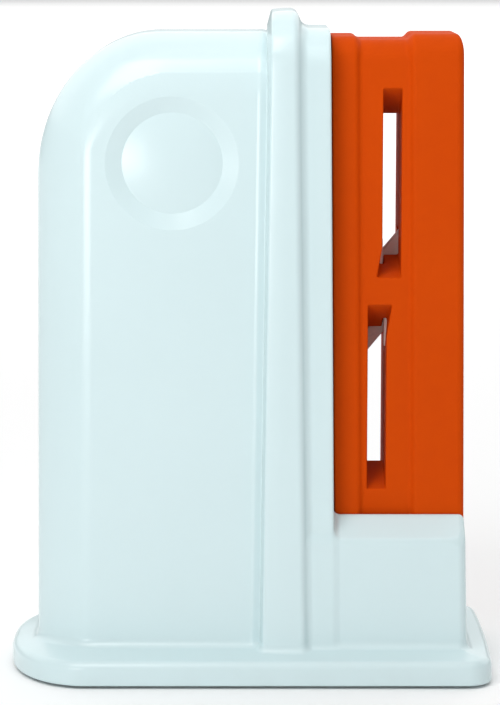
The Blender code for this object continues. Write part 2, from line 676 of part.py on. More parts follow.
def upper_slot(side):
    return slot_cutter(side, UPPER_SLOT_X, (UPPER_MOUTH_FLOOR_Z, UPPER_MOUTH_TOP_Z),
                       (UPPER_THROAT_FLOOR_Z, UPPER_THROAT_TOP_Z), -1)


def lower_slot(side):
    return slot_cutter(side, LOWER_SLOT_X, (LOWER_MOUTH_FLOOR_Z, LOWER_MOUTH_TOP_Z),
                       (LOWER_THROAT_FLOOR_Z, LOWER_THROAT_TOP_Z), 1)


def bevel_stone_place(turn):
    """Middle of a bevel stone: turn 1 is the upper slot, turn -1 the lower one, which is upside down."""
    slot_x = UPPER_SLOT_X if turn > 0 else LOWER_SLOT_X
    throat_end = UPPER_THROAT_FLOOR_Z if turn > 0 else LOWER_THROAT_TOP_Z
    rise = UPPER_STONE_RISE if turn > 0 else LOWER_STONE_RISE
    into_body = BEVEL_STONE_THICKNESS / 2
    x = slot_x + turn * into_body * cos(BEVEL_STONE_TILT)
    z = throat_end + turn * (rise - into_body * sin(BEVEL_STONE_TILT))
    return Vector((x, MATING_Y + GAP / 2 + STONE_DEPTH / 2, z))


def flat_stone_place(turn):
    slot_x = UPPER_SLOT_X if turn > 0 else LOWER_SLOT_X
    throat_end = UPPER_THROAT_FLOOR_Z if turn > 0 else LOWER_THROAT_TOP_Z
    x = slot_x - turn * (SLOT_WIDTH / 2 - FLAT_STONE_PROUD + FLAT_STONE_THICKNESS / 2)
    z = throat_end + turn * FLAT_STONE_RISE
    return Vector((x, -(MATING_Y + GAP / 2 + STONE_DEPTH / 2), z))


def stone_block(name, thickness, length, place, tilt, grow=0, reach=0, material=None):
    """A stone, or its pocket: grow widens it all round, and reach lengthens it past the mating face."""
    bm = bmesh.new()
    size = (thickness + 2 * grow, STONE_DEPTH + 2 * grow + reach, length + 2 * grow)
    bmesh.ops.create_cube(bm, size=1, matrix=Matrix.Diagonal((*size, 1)))
    if not grow:
        bmesh.ops.bevel(bm, geom=list(bm.edges), offset=STONE_BEVEL, segments=1, affect='EDGES')
    stone = object_from(bm, name, material)
    towards_middle = -1 if place.y > 0 else 1
    stone.location = place + Vector((0, towards_middle * reach / 2, 0))
    stone.rotation_euler = (0, tilt, 0)
    return stone


def cut_stone_pockets(half, side):
    for turn in (1, -1):
        if side > 0:
            cut(half, stone_block("bevel_pocket", BEVEL_STONE_THICKNESS, BEVEL_STONE_LENGTH,
                                  bevel_stone_place(turn), BEVEL_STONE_TILT, STONE_FIT, OVERRUN))
        else:
            cut(half, stone_block("flat_pocket", FLAT_STONE_THICKNESS, FLAT_STONE_LENGTH,
                                  flat_stone_place(turn), 0, STONE_FIT, OVERRUN))


def cut_cores(half, side):
    """Two coring pockets in the wide right column, with a rib between them that carries a pin."""
    left = CHANNEL_RIGHT_X + CORE_WALL
    right = insert_right(INSERT_TOP_Z) - CORE_WALL
    near, far = sorted((-side * OVERRUN, side * (INSERT_HALF_DEPTH - CORE_WALL)))
    spans = ((CORE_FLOOR_Z, CORE_MIDDLE_Z - CORE_RIB / 2), (CORE_MIDDLE_Z + CORE_RIB / 2, CORE_TOP_Z))
    for low, high in spans:
        cut(half, box("core", (left, near, low), (right, far, high)))


def pin_places():
    left = insert_left(PIN_UPPER_Z) + PIN_LEFT_INSET
    right = (CHANNEL_RIGHT_X + insert_right(INSERT_TOP_Z)) / 2
    return ((left, PIN_UPPER_Z), (left, PIN_LOWER_Z), (right, CORE_MIDDLE_Z))


def pin(name, x, z, radius, low_y, high_y):
    bm = bmesh.new()
    turned = Matrix.Translation((x, (low_y + high_y) / 2, z)) @ Matrix.Rotation(pi / 2, 4, 'X')
    bmesh.ops.create_cone(bm, cap_ends=True, segments=PIN_SIDES, radius1=radius, radius2=radius,
                          depth=high_y - low_y, matrix=turned)
    return object_from(bm, name)


def add_pins_or_sockets(half, side):
    for x, z in pin_places():
        if side > 0:
            add(half, pin("pin", x, z, PIN_RADIUS, -PIN_LENGTH, MATING_Y + OVERRUN))
        else:
            cut(half, pin("pin_socket", x, z, PIN_RADIUS + GAP, -PIN_LENGTH - 2 * GAP, 0))


def hook(side, z):
    """A snap arm that reaches through the tower's wall and catches behind it."""
    wall_inside = tower_wall(z) - WALL - GAP
    root = insert_left(z) + OVERRUN
    inner = HOOK_INNER_Y
    outer = HOOK_INNER_Y + HOOK_THICKNESS
    tip = wall_inside - HOOK_NOSE
    plan = [(root, inner), (root, outer), (wall_inside, outer), (wall_inside, outer + HOOK_BARB - GAP),
            (tip, outer), (tip, inner)]
    rings = []
    for level in (z - HOOK_HEIGHT / 2, z + HOOK_HEIGHT / 2):
        rings.append([(x, side * y, level) for x, y in plan])
    return loft("hook", rings)


def make_insert_half(name, side, material):
    half = insert_body(name, side, material)
    for z in (HOOK_LOWER_Z, HOOK_UPPER_Z):
        add(half, hook(side, z))
    cut_cores(half, side)
    cut(half, upper_slot(side))
    cut(half, lower_slot(side))
    cut_stone_pockets(half, side)
    add_pins_or_sockets(half, side)
    for x, y in insert_screw_places().values():
        if y * side > 0:
            cut(half, post("insert_hole", x, y, SHANK_RADIUS + SHANK_FIT, INSERT_FOOT_Z - OVERRUN,
                           INSERT_SCREW_TIP_Z + HOLE_END_ROOM, SCREW_SIDES))
    return half


def make_stones(material):
    for turn, slot in ((1, "upper"), (-1, "lower")):
        stone_block(slot + "_bevel_stone", BEVEL_STONE_THICKNESS, BEVEL_STONE_LENGTH,
                    bevel_stone_place(turn), BEVEL_STONE_TILT, material=material)
        stone_block(slot + "_flat_stone", FLAT_STONE_THICKNESS, FLAT_STONE_LENGTH,
                    flat_stone_place(turn), 0, material=material)


# Plate, feet and screws

def foot_places():
    left_y = BASE_DEPTH / 2 - FOOT_LEFT_SIDE_INSET
    right_y = BASE_DEPTH / 2 - FOOT_RIGHT_SIDE_INSET
    places = {}
    for depth, side in (("front", -1), ("rear", 1)):
        places[depth + "_left"] = (LEFT_FOOT_X, side * left_y)
        places[depth + "_right"] = (RIGHT_FOOT_X, side * right_y)
    return places


def make_plate(material):
    plate = loft("bottom_plate", [base_outline(WALL + GAP, PLATE_BOTTOM_Z),
                                  base_outline(WALL + GAP, PLATE_TOP_Z)], material)
    for x, y in foot_places().values():
        cut(plate, post("foot_pocket", x, y, FOOT_RADIUS + GAP, PLATE_BOTTOM_Z - OVERRUN,
                        FOOT_HEIGHT + GAP, FOOT_SIDES))
    for x, y in boss_places().values():
        cut(plate, post("head_pocket", x, y, HEAD_RADIUS + HEAD_FIT, PLATE_BOTTOM_Z - OVERRUN,
                        PLATE_BOTTOM_Z + HEAD_HEIGHT + GAP, SCREW_SIDES))
        cut(plate, post("screw_hole", x, y, SHANK_RADIUS + GAP, PLATE_BOTTOM_Z - OVERRUN,
                        PLATE_TOP_Z + OVERRUN, SCREW_SIDES))
    return plate


def make_foot(name, x, y, material):
    """A rubber disc with a rounded lower edge."""
    profile = ((FOOT_RADIUS - FOOT_ROUND, 0), (FOOT_RADIUS, FOOT_ROUND), (FOOT_RADIUS, FOOT_HEIGHT))
    rings = []
    for radius, z in profile:
        angles = [2 * pi * step / FOOT_SIDES for step in range(FOOT_SIDES)]
        rings.append([(radius * cos(angle), radius * sin(angle), z) for angle in angles])
    foot = loft(name, rings, material)
    foot.location = (x, y, 0)
    return foot


def circle(radius, z):
    """Twelve points, set so that a cross can be drawn through the same number."""
    angles = [2 * pi * (step + 0.5) / SCREW_SIDES for step in range(SCREW_SIDES)]
    return [(radius * cos(angle), radius * sin(angle), z) for angle in angles]


def cross(z):
    """Outline of the driver's cross: two arm corners and one inner corner in each quarter."""
    reach = HEAD_RADIUS * CROSS_REACH_SHARE
    half = HEAD_RADIUS * CROSS_WIDTH_SHARE
    points = []
    for quarter in range(4):
        turn = Matrix.Rotation(pi / 2 * quarter, 3, 'Z')
        for corner in ((reach, half, z), (half, half, z), (half, reach, z)):
            points.append(tuple(turn @ Vector(corner)))
    return points


def make_screw(name, x, y, head_z, length, material):
    """Pan head down, point up; head_z is the lower face of the head."""
    cross_depth = HEAD_HEIGHT * CROSS_DEPTH_SHARE
    rings = [cross(cross_depth), cross(0), circle(HEAD_RADIUS - HEAD_ROUND, 0),
             circle(HEAD_RADIUS, HEAD_ROUND), circle(HEAD_RADIUS, HEAD_HEIGHT),
             circle(SHANK_RADIUS, HEAD_HEIGHT), circle(SHANK_RADIUS, HEAD_HEIGHT + length - SHANK_TIP),
             circle(TIP_RADIUS, HEAD_HEIGHT + length)]
    screw = loft(name, rings, material)
    screw.location = (x, y, head_z)
    return screw


def main():
    clear_scene()
    white = plastic("white_plastic", (0.70, 0.82, 0.83), 0.35)
    orange = plastic("orange_plastic", (0.72, 0.08, 0.008), 0.4)
    ceramic = plastic("ceramic", (0.78, 0.66, 0.62), 0.6)
    grey = plastic("grey_plastic", (0.25, 0.26, 0.27), 0.5)
    rubber = plastic("rubber", (0.03, 0.03, 0.03), 0.8)
    steel = plastic("steel", (0.55, 0.56, 0.57), 0.3, 1.0)
    make_housing(white)
    make_insert_half("insert_front", -1, orange)
    make_insert_half("insert_rear", 1, orange)
    make_stones(ceramic)
    make_plate(grey)
    for name, (x, y) in foot_places().items():
        make_foot("foot_" + name, x, y, rubber)
    for name, (x, y) in boss_places().items():
        make_screw("plate_screw_" + name, x, y, PLATE_BOTTOM_Z, PLATE_SCREW_LENGTH, steel)
    for name, (x, y) in insert_screw_places().items():
        make_screw("insert_screw_" + name, x, y, INSERT_SCREW_HEAD_Z, INSERT_SCREW_LENGTH, steel)


main()
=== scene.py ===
"""Looks of a desktop scissor sharpener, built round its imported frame. All lengths are in metres."""

import bmesh
import bpy
import numpy as np
from math import atan, cos, floor, pi, radians, sin, sqrt, tan
from mathutils import Matrix, Vector


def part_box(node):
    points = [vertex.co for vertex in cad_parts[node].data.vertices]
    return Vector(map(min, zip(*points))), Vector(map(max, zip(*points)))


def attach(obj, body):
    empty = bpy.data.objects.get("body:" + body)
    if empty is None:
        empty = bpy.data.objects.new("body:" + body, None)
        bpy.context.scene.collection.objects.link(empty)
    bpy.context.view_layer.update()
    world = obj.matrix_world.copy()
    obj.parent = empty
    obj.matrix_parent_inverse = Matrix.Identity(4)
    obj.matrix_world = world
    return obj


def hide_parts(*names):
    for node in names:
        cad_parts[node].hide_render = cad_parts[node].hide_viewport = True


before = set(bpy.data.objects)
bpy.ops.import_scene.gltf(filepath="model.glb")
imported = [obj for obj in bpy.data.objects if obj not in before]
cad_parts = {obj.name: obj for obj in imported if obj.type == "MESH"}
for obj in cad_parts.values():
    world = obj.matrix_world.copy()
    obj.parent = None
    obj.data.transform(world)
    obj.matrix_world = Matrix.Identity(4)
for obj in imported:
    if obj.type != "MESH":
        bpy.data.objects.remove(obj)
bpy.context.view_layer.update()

# Casing: one white ABS moulding, open underneath, with a soft gloss. Its handle, band, tower, block and
# flange run into each other with moulded fillets, so it is drawn here as one smooth field that is zero on
# the surface.
MM = 0.001
LEAN = tan(radians(0.57))
BAND_LEAN = tan(radians(0.82))
BLOCK_LEAN = tan(radians(1.3))
WALL = 0.0022
BASE_LOW, BASE_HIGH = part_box("housing")
BASE_WIDTH = BASE_HIGH.x - BASE_LOW.x
BASE_DEPTH = BASE_HIGH.y - BASE_LOW.y
BASE_LEFT_ROUND = 0.017
BASE_LEFT_STRAIGHT = 0.002
BASE_RIGHT_ROUND = 0.0052
BASE_END_BOW = 0.0007
FLANGE_TOP_Z = 0.0058
FLANGE_PITCH = radians(13)
RIM_BOTTOM_Z = BASE_LOW.z
RIM_ROUND = 1.4 * MM
RIM_FOOT_ROUND = 0.4 * MM
TOP_Z = BASE_HIGH.z
HANDLE_LEFT_X = BASE_LOW.x + 0.0058
HANDLE_TOP_Z = TOP_Z - 0.0044
HANDLE_ARC_WIDTH = 0.0257
HANDLE_ARC_HEIGHT = 0.030
HANDLE_FACE_Y = 0.0180
RAISED_FACE_SIDE = 0.0105
RAISED_FACE_DROP = 0.0071
RAISED_FACE_ARC = 0.017
RAISED_FACE_TO_BAND = 0.0073
SHOULDER_START_Y = 0.0072
SHOULDER_DEPTH = 1.04 * (HANDLE_FACE_Y - SHOULDER_START_Y)
SHOULDER_SHIFT = 1.0 * MM
SHOULDER_ACROSS_POWER = 1.14
SHOULDER_DEEP_POWER = 1.73
CREST_PITCH = tan(radians(12))
CREST_WIDTH = 0.0006
CREST_SOFTNESS = 0.15 * MM
VALLEY_PITCH = tan(radians(15))
VALLEY_DEPTH = 0.0006
TOWER_FACE_Y = 0.0188
TOWER_TOP_Z = TOP_Z - 0.00355
TOWER_ARC = 0.0079
TOWER_EDGE_ROUND = 0.6 * MM
TOWER_RIGHT_X = 0.0179
BAND_X = 0.0071
BAND_FACE_Y = 0.0208
BAND_ARC = 0.0104
BAND_HALF_WIDTH = 0.00452
BAND_ROOT_DEPTH = 0.0036
BAND_LEFT_SPREAD = 0.9 * MM
BAND_RIGHT_SPREAD = 1.5 * MM
BAND_FACET_WIDTH = 0.9 * MM
BAND_FACET_ROUND = 0.5 * MM
BAND_LEFT_EDGE_ROUND = 0.4 * MM
BAND_RIGHT_EDGE_ROUND = 0.95 * MM
BAND_LEFT_FILLET = 0.25 * MM
BAND_RIGHT_FILLET = 1.2 * MM
BLOCK_RIGHT_X = BASE_HIGH.x - 0.0053
BLOCK_CORNER_ROUND = 1.8 * MM
BLOCK_FILLET = 1.5 * MM
BASE_FILLET = 1.5 * MM
SHELF_Z = 0.0315
LIP_TOP_Z = 0.0347
LIP_FRONT_Z = 0.0302
LIP_ROUND = 0.4 * MM
INSERT_ROOM_Y = 0.0133
INSERT_ROOM_EDGE_ROUND = 0.25 * MM
HOLLOW_END_Z = -0.004
RECESS_X = BAND_X - 0.0231
RECESS_Z = TOP_Z - 0.0310
RECESS_RADIUS = 0.01375
RECESS_FLOOR = 0.0104
RECESS_DEPTH = 0.0011
RECESS_DOME = 0.0008


def rounded_and(a, b, radius):
    """What lies inside both a and b, with the edge between them rounded."""
    return (np.minimum(np.maximum(a, b), -radius)
            + np.hypot(np.maximum(a + radius, 0), np.maximum(b + radius, 0)))


def filleted_or(a, b, radius):
    """What lies inside a or b, with a fillet where they meet."""
    return (np.maximum(np.minimum(a, b), radius)
            - np.hypot(np.maximum(radius - a, 0), np.maximum(radius - b, 0)))


def oval_edge(u, v, run, rise):
    """Distance from an outline with a quarter-ellipse corner; u and v start at the ellipse's centre."""
    u, v = np.maximum(u, 0) / run, np.maximum(v, 0) / rise
    reach = np.hypot(u, v)
    slope = np.hypot(u / run, v / rise) / np.maximum(reach, 1e-9)
    return (reach - 1) / np.maximum(slope, 1 / max(run, rise))


def arch_edge(x, z, left, top, run, rise):
    """Distance from the front outline of the handle or of its raised face."""
    side = left + LEAN * np.minimum(z, top - rise)
    return oval_edge(side + run - x, z - (top - rise), run, rise)


def softened(length, soft):
    """The length where it is more than zero, and zero where it is less, with a soft turn between."""
    return (length + np.hypot(length, soft)) / 2


def thumb_recess(out):
    """How deep the recess is, this far from its middle: a sloping wall round a low dome."""
    wall = np.clip((RECESS_RADIUS - out) / (RECESS_RADIUS - RECESS_FLOOR), 0, 1)
    dome = RECESS_DOME * (1 - np.minimum(out / RECESS_FLOOR, 1) ** 2)
    return RECESS_DEPTH * wall - dome


def handle_field(x, y, z, with_recess):
    """The raised face has a soft edge at its left and top. At its right a fine crest leads into a shallow
    valley beside the band."""
    outer = arch_edge(x, z, HANDLE_LEFT_X, HANDLE_TOP_Z, HANDLE_ARC_WIDTH, HANDLE_ARC_HEIGHT)
    face_left_x = HANDLE_LEFT_X + RAISED_FACE_SIDE
    face_top_z = HANDLE_TOP_Z - RAISED_FACE_DROP
    inner = arch_edge(x, z, face_left_x, face_top_z, RAISED_FACE_ARC, RAISED_FACE_ARC)
    margin = np.maximum(inner - outer, 1 * MM) + SHOULDER_SHIFT
    u = np.maximum(inner + SHOULDER_SHIFT, 0) / margin
    v = np.maximum(y - SHOULDER_START_Y, 0) / SHOULDER_DEPTH
    across_slope = SHOULDER_ACROSS_POWER * u ** (SHOULDER_ACROSS_POWER - 1) / margin
    deep_slope = SHOULDER_DEEP_POWER * v ** (SHOULDER_DEEP_POWER - 1) / SHOULDER_DEPTH
    least_slope = 40
    side = u ** SHOULDER_ACROSS_POWER + v ** SHOULDER_DEEP_POWER - 1
    side = side / np.maximum(np.hypot(across_slope, deep_slope), least_slope)
    side = side + 0.4 * np.minimum(inner + SHOULDER_SHIFT, 0)
    face = y - HANDLE_FACE_Y
    if with_recess:
        face = face + thumb_recess(np.hypot(x - RECESS_X, z - RECESS_Z))
    side_round, added_at_top = 0.6, 2.4
    arch_start_z, arch_rise = 0.112, 0.016
    edge = (side_round + added_at_top * np.clip((z - arch_start_z) / arch_rise, 0, 1)) * MM
    body = rounded_and(side, face, edge)
    along = x - (BAND_X - RAISED_FACE_TO_BAND + BAND_LEAN * z)
    crest = CREST_PITCH * softened(along, CREST_SOFTNESS)
    fall = (CREST_PITCH + VALLEY_PITCH) * softened(along - CREST_WIDTH, CREST_SOFTNESS)
    return np.maximum(body - np.maximum(crest - fall, -VALLEY_DEPTH), x - BAND_X - 1 * MM)


def tower_field(x, y, z):
    """The narrow tower at the right of the band, which runs in under the band."""
    arch = oval_edge(y - (TOWER_FACE_Y - TOWER_ARC), z - (TOWER_TOP_Z - TOWER_ARC), TOWER_ARC, TOWER_ARC)
    body = rounded_and(arch, x - (TOWER_RIGHT_X - LEAN * z), TOWER_EDGE_ROUND)
    return np.maximum(body, BAND_X - 3 * MM - x)


def band_field(x, y, z):
    """The band's side walls spread from its face to its root, and a narrow facet runs along its left edge."""
    face = oval_edge(y - (BAND_FACE_Y - BAND_ARC), z - (TOP_Z - BAND_ARC), BAND_ARC, BAND_ARC)
    at_left = x < BAND_X
    half_width = BAND_HALF_WIDTH - BAND_LEAN * z
    most_spread = np.where(at_left, BAND_LEFT_SPREAD, BAND_RIGHT_SPREAD)
    spread = most_spread * np.clip(-face / BAND_ROOT_DEPTH, 0, 1)
    side = np.abs(x - BAND_X) - half_width - spread
    side = side * BAND_ROOT_DEPTH / np.hypot(BAND_ROOT_DEPTH, most_spread)
    facet = face + CREST_PITCH * (BAND_X - x - half_width + BAND_FACET_WIDTH)
    face = rounded_and(face, facet * cos(atan(CREST_PITCH)), BAND_FACET_ROUND)
    return rounded_and(face, side, np.where(at_left, BAND_LEFT_EDGE_ROUND, BAND_RIGHT_EDGE_ROUND))


def block_field(x, y, z):
    """The low block under the insert; a sloping lip runs along its front and its back."""
    wall = x - (BLOCK_RIGHT_X - BLOCK_LEAN * z)
    body = rounded_and(y - TOWER_FACE_Y, wall, BLOCK_CORNER_ROUND)
    rate = (LIP_TOP_Z - LIP_FRONT_Z) / (TOWER_FACE_Y - INSERT_ROOM_Y - LIP_ROUND)
    slope = (z - LIP_FRONT_Z - rate * (TOWER_FACE_Y - y)) / np.hypot(1, rate)
    lip = rounded_and(slope, z - LIP_TOP_Z, LIP_ROUND)
    front_round, added_at_wall = 0.5, 0.9
    growth_width = 2.3 * MM
    edge = (front_round + added_at_wall * np.clip(1.5 + wall / growth_width, 0, 1)) * MM
    return np.maximum(rounded_and(body, lip, edge), BAND_X - x)


def base_field(x, y, z):
    """Flange with a round rim and a top that slopes up to the body."""
    rise = BASE_DEPTH / 2 - BASE_LEFT_STRAIGHT
    plan = oval_edge(BASE_LOW.x + BASE_LEFT_ROUND - x, y - BASE_LEFT_STRAIGHT, BASE_LEFT_ROUND, rise)
    bow = BASE_END_BOW * (y / (BASE_DEPTH / 2)) ** 2
    plan = rounded_and(plan, x + bow - BASE_WIDTH / 2, BASE_RIGHT_ROUND)
    top = (z - FLANGE_TOP_Z + tan(FLANGE_PITCH) * (plan + RIM_ROUND)) * cos(FLANGE_PITCH)
    return rounded_and(plan, top, RIM_ROUND)


def casing_field(x, y, z, open_below=False, with_recess=True):
    """The whole casing, the same in front and behind, less the room that the insert stands in."""
    y = np.abs(y)
    body = np.minimum(handle_field(x, y, z, with_recess), tower_field(x, y, z))
    band_fillet = np.where(x < BAND_X, BAND_LEFT_FILLET, BAND_RIGHT_FILLET)
    body = filleted_or(body, band_field(x, y, z), band_fillet)
    body = filleted_or(body, block_field(x, y, z), BLOCK_FILLET)
    body = filleted_or(body, base_field(x, y, z), BASE_FILLET)
    room = np.maximum(np.maximum(y - INSERT_ROOM_Y, TOWER_RIGHT_X - LEAN * z - x), SHELF_Z - z)
    body = rounded_and(body, -room, INSERT_ROOM_EDGE_ROUND)
    if open_below:
        return body
    return rounded_and(body, RIM_BOTTOM_Z - z, RIM_FOOT_ROUND)


def plain_field(x, y, z):
    """The casing before its two recesses are cut."""
    return casing_field(x, y, z, with_recess=False)


def hollow_field(x, y, z):
    """The room inside the casing, which runs out of its open underside."""
    outside = casing_field(x, y, np.maximum(z, RIM_BOTTOM_Z), open_below=True)
    return np.maximum(outside + WALL, HOLLOW_END_Z - z)


def ruled(low, high, turns, fine, wide, growth):
    """Grid lines that crowd together at the places where the shape turns sharply."""
    marks = [low]
    while marks[-1] < high:
        gap = min(abs(marks[-1] - place) for place in turns)
        marks.append(marks[-1] + min(wide, fine + growth * gap))
    return np.array(marks)


def both_sides(marks):
    return np.concatenate([-marks[:0:-1], marks])


def skin(field, across, deep, high, lean_at, leans):
    """Faces round a field's inside: one point in each grid cell that the surface crosses, drawn onto it. The
    grid's columns lean with the moulded walls."""
    lean = np.interp(across, lean_at, leans)
    x = across[:, None, None] + lean[:, None, None] * high[None, None, :] + 0 * deep[None, :, None]
    y = 0 * x + deep[None, :, None]
    z = 0 * x + high[None, None, :]
    grid = np.stack([x, y, z])
    value = field(x, y, z)
    inside = value < 0
    cells = tuple(n - 1 for n in value.shape)
    total = np.zeros((3, *cells))
    count = np.zeros(cells)
    crossings = []
    for axis in range(3):
        near = [slice(None)] * 3
        far = [slice(None)] * 3
        near[axis], far[axis] = slice(None, -1), slice(1, None)
        near, far = tuple(near), tuple(far)
        crossed = inside[near] != inside[far]
        share = np.where(crossed, value[near] / np.where(crossed, value[near] - value[far], 1), 0)
        point = (grid[(slice(None), *near)] * (1 - share) + grid[(slice(None), *far)] * share) * crossed
        others = [a for a in range(3) if a != axis]
        for i in (0, 1):
            for j in (0, 1):
                part = [slice(None)] * 3
                part[others[0]] = slice(i, i + cells[others[0]])
                part[others[1]] = slice(j, j + cells[others[1]])
                total += point[(slice(None), *part)]
                count += crossed[tuple(part)]
        crossings.append((axis, others, crossed, inside[near]))
    used = count > 0
    number = np.full(cells, -1)
    number[used] = np.arange(used.sum())
    points = (total[:, used] / count[used]).T
    faces = []
    for axis, others, crossed, solid in crossings:
        at = np.argwhere(crossed)
        keep = np.all([(at[:, o] > 0) & (at[:, o] < cells[o]) for o in others], axis=0)
        at = at[keep]
        corners = []
        for i, j in ((0, 0), (1, 0), (1, 1), (0, 1)):
            cell = at.copy()
            cell[:, others[0]] -= 1 - i
            cell[:, others[1]] -= 1 - j
            corners.append(number[tuple(cell.T)])
        quads = np.stack(corners, 1)
        turned = solid[tuple(at.T)] == (axis == 1)
        quads[turned] = quads[turned][:, ::-1]
        faces.append(quads)
    for _ in range(4):
        points = settle(points, field)
    return points, np.concatenate(faces)


def steepness(points, field):
    """The field's gradient, which points straight out of the surface."""
    step = 0.02 * MM
    columns = []
    for axis in range(3):
        ahead, behind = points.copy(), points.copy()
        ahead[:, axis] += step
        behind[:, axis] -= step
        columns.append((field(*ahead.T) - field(*behind.T)) / (2 * step))
    return np.stack(columns, 1)


def settle(points, field):
    """Move points onto the surface, by no more than a short step each."""
    longest_step = 0.4 * MM
    least_square = 0.05
    slope = steepness(points, field)
    move = (field(*points.T) / np.maximum((slope ** 2).sum(1), least_square))[:, None] * slope
    length = np.linalg.norm(move, axis=1, keepdims=True)
    return points - move * np.minimum(1, longest_step / np.maximum(length, 1e-12))


def mesh_object(name, points, faces, material):
    mesh = bpy.data.meshes.new(name)
    mesh.from_pydata(points.tolist(), [], faces.tolist())
    mesh.validate()
    mesh.materials.append(material)
    item = bpy.data.objects.new(name, mesh)
    bpy.context.scene.collection.objects.link(item)
    return item


def turned_mesh(bm, profile, sides, x=0, y=0, sweep=None):
    """Turn a profile of radius and height round an upright axis; radius 0 closes an end."""
    rows = []
    for radius, z in profile:
        if radius == 0:
            rows.append([bm.verts.new((x, y, z))])
            continue
        row = []
        for step in range(sides):
            angle = 2 * pi * step / sides
            reach = sweep(radius, z, angle) if sweep else radius
            row.append(bm.verts.new((x + reach * cos(angle), y + reach * sin(angle), z)))
        rows.append(row)
    for near, far in zip(rows, rows[1:]):
        for i in range(sides):
            j = (i + 1) % sides
            corners = [near[i % len(near)], near[j % len(near)], far[j % len(far)], far[i % len(far)]]
            bm.faces.new(list(dict.fromkeys(corners)))
    bmesh.ops.recalc_face_normals(bm, faces=bm.faces)


CREASE = radians(35)


def object_of(name, bm, material, sharp=CREASE):
    mesh = bpy.data.meshes.new(name)
    bm.to_mesh(mesh)
    bm.free()
    mesh.shade_smooth()
    mesh.set_sharp_from_angle(angle=sharp)
    mesh.materials.append(material)
    item = bpy.data.objects.new(name, mesh)
    bpy.context.scene.collection.objects.link(item)
    return item


def bake_modifiers(item):
    """Turn an object with live modifiers into a plain mesh."""
    graph = bpy.context.evaluated_depsgraph_get()
    mesh = bpy.data.meshes.new_from_object(item.evaluated_get(graph))
    item.modifiers.clear()
    item.data = mesh
    return item


def shade_from_field(item, field, sharp=radians(64)):
    """Smooth normals straight from the field where a face lies on its surface, and flat ones elsewhere. They
    are looked up just inside each corner, so that creases stay crisp."""
    mesh = item.data
    mesh.shade_smooth()
    points = np.zeros(len(mesh.vertices) * 3)
    mesh.vertices.foreach_get("co", points)
    corner_vertex = np.zeros(len(mesh.loops), int)
    mesh.loops.foreach_get("vertex_index", corner_vertex)
    face_count = len(mesh.polygons)
    normals = np.zeros(face_count * 3)
    mesh.polygons.foreach_get("normal", normals)
    centres = np.zeros(face_count * 3)
    mesh.polygons.foreach_get("center", centres)
    sizes = np.zeros(face_count, int)
    mesh.polygons.foreach_get("loop_total", sizes)
    centres = centres.reshape(-1, 3)
    flat = np.repeat(normals.reshape(-1, 3), sizes, axis=0)
    inward = 0.15
    off_surface = 0.10 * MM
    outer_corners = points.reshape(-1, 3)[corner_vertex]
    corners = (1 - inward) * outer_corners + inward * np.repeat(centres, sizes, axis=0)
    smooth = steepness(corners, field)
    smooth /= np.maximum(np.linalg.norm(smooth, axis=1, keepdims=True), 1e-12)
    on_skin = np.repeat(np.abs(field(*centres.T)) < off_surface, sizes)
    use = on_skin & ((flat * smooth).sum(1) > cos(sharp))
    mesh.normals_split_custom_set(np.where(use[:, None], smooth, flat).tolist())


class Wire:
    """A shader socket. Sums written on it add the Math nodes that work them out."""

    def __init__(self, tree, socket=None):
        self.tree = tree
        self.socket = socket

    def feed(self, node, sockets):
        for key, value in sockets.items():
            if isinstance(value, Wire):
                self.tree.links.new(value.socket, node.inputs[key])
            else:
                node.inputs[key].default_value = value

    def node(self, kind, settings, sockets, output=0):
        item = self.tree.nodes.new(kind)
        for name, value in settings.items():
            setattr(item, name, value)
        self.feed(item, sockets)
        return Wire(self.tree, item.outputs[output])

    def math(self, operation, first, second):
        return self.node("ShaderNodeMath", {"operation": operation}, {0: first, 1: second})

    def __add__(self, other):
        return self.math("ADD", self, other)

    def __rsub__(self, other):
        return self.math("SUBTRACT", other, self)

    def __mul__(self, other):
        return self.math("MULTIPLY", self, other)

    __radd__ = __add__
    __rmul__ = __mul__


def new_look(name, constants):
    """A material with a Principled shader, and the wire that reads places on the piece."""
    material = bpy.data.materials.new(name)
    material.use_nodes = True
    place = Wire(material.node_tree).node("ShaderNodeTexCoord", {}, {}, "Object")
    place.feed(principled(material), constants)
    return material, place


def principled(material):
    return material.node_tree.nodes["Principled BSDF"]


def noise(place, size, detail=2.0):
    """Clouds about this size."""
    return place.node("ShaderNodeTexNoise", {}, {"Vector": place, "Scale": 1 / size, "Detail": detail})


def fade(wire, start, end):
    """Goes from 0 to 1 while the wire goes from start to end."""
    ends = {"Value": wire, "From Min": start, "From Max": end}
    return wire.node("ShaderNodeMapRange", {"interpolation_type": "SMOOTHSTEP"}, ends)


def height_of(place):
    return place.node("ShaderNodeSeparateXYZ", {}, {0: place}, "Z")


def tint(share, first, second):
    """A colour between two. Inputs 6 and 7 and output 2 are the Mix node's colour sockets."""
    return share.node("ShaderNodeMix", {"data_type": "RGBA"}, {0: share, 6: first, 7: second}, 2)


def bump(height, distance):
    return height.node("ShaderNodeBump", {}, {"Height": height, "Distance": distance})


white, place = new_look("white_gloss_plastic", {"Specular IOR Level": 0.5})
cool_white = (0.605, 0.745, 0.765, 1)
pale_white = (0.625, 0.765, 0.785, 1)
dust_grey = (0.42, 0.44, 0.42, 1)
cloud = noise(place, 0.030)
streak = noise(place, 0.012, 3.0)
grain = noise(place, 0.00045)
dust = (1 - fade(height_of(place), 0.0008, 0.0060)) * 0.10 * fade(streak, 0.35, 0.75)
shade = tint(cloud, cool_white, pale_white)
place.feed(principled(white), {
    "Base Color": tint(dust, shade, dust_grey),
    "Roughness": 0.20 + 0.04 * streak + 0.25 * dust,
    "Normal": bump(grain, 0.000010)})

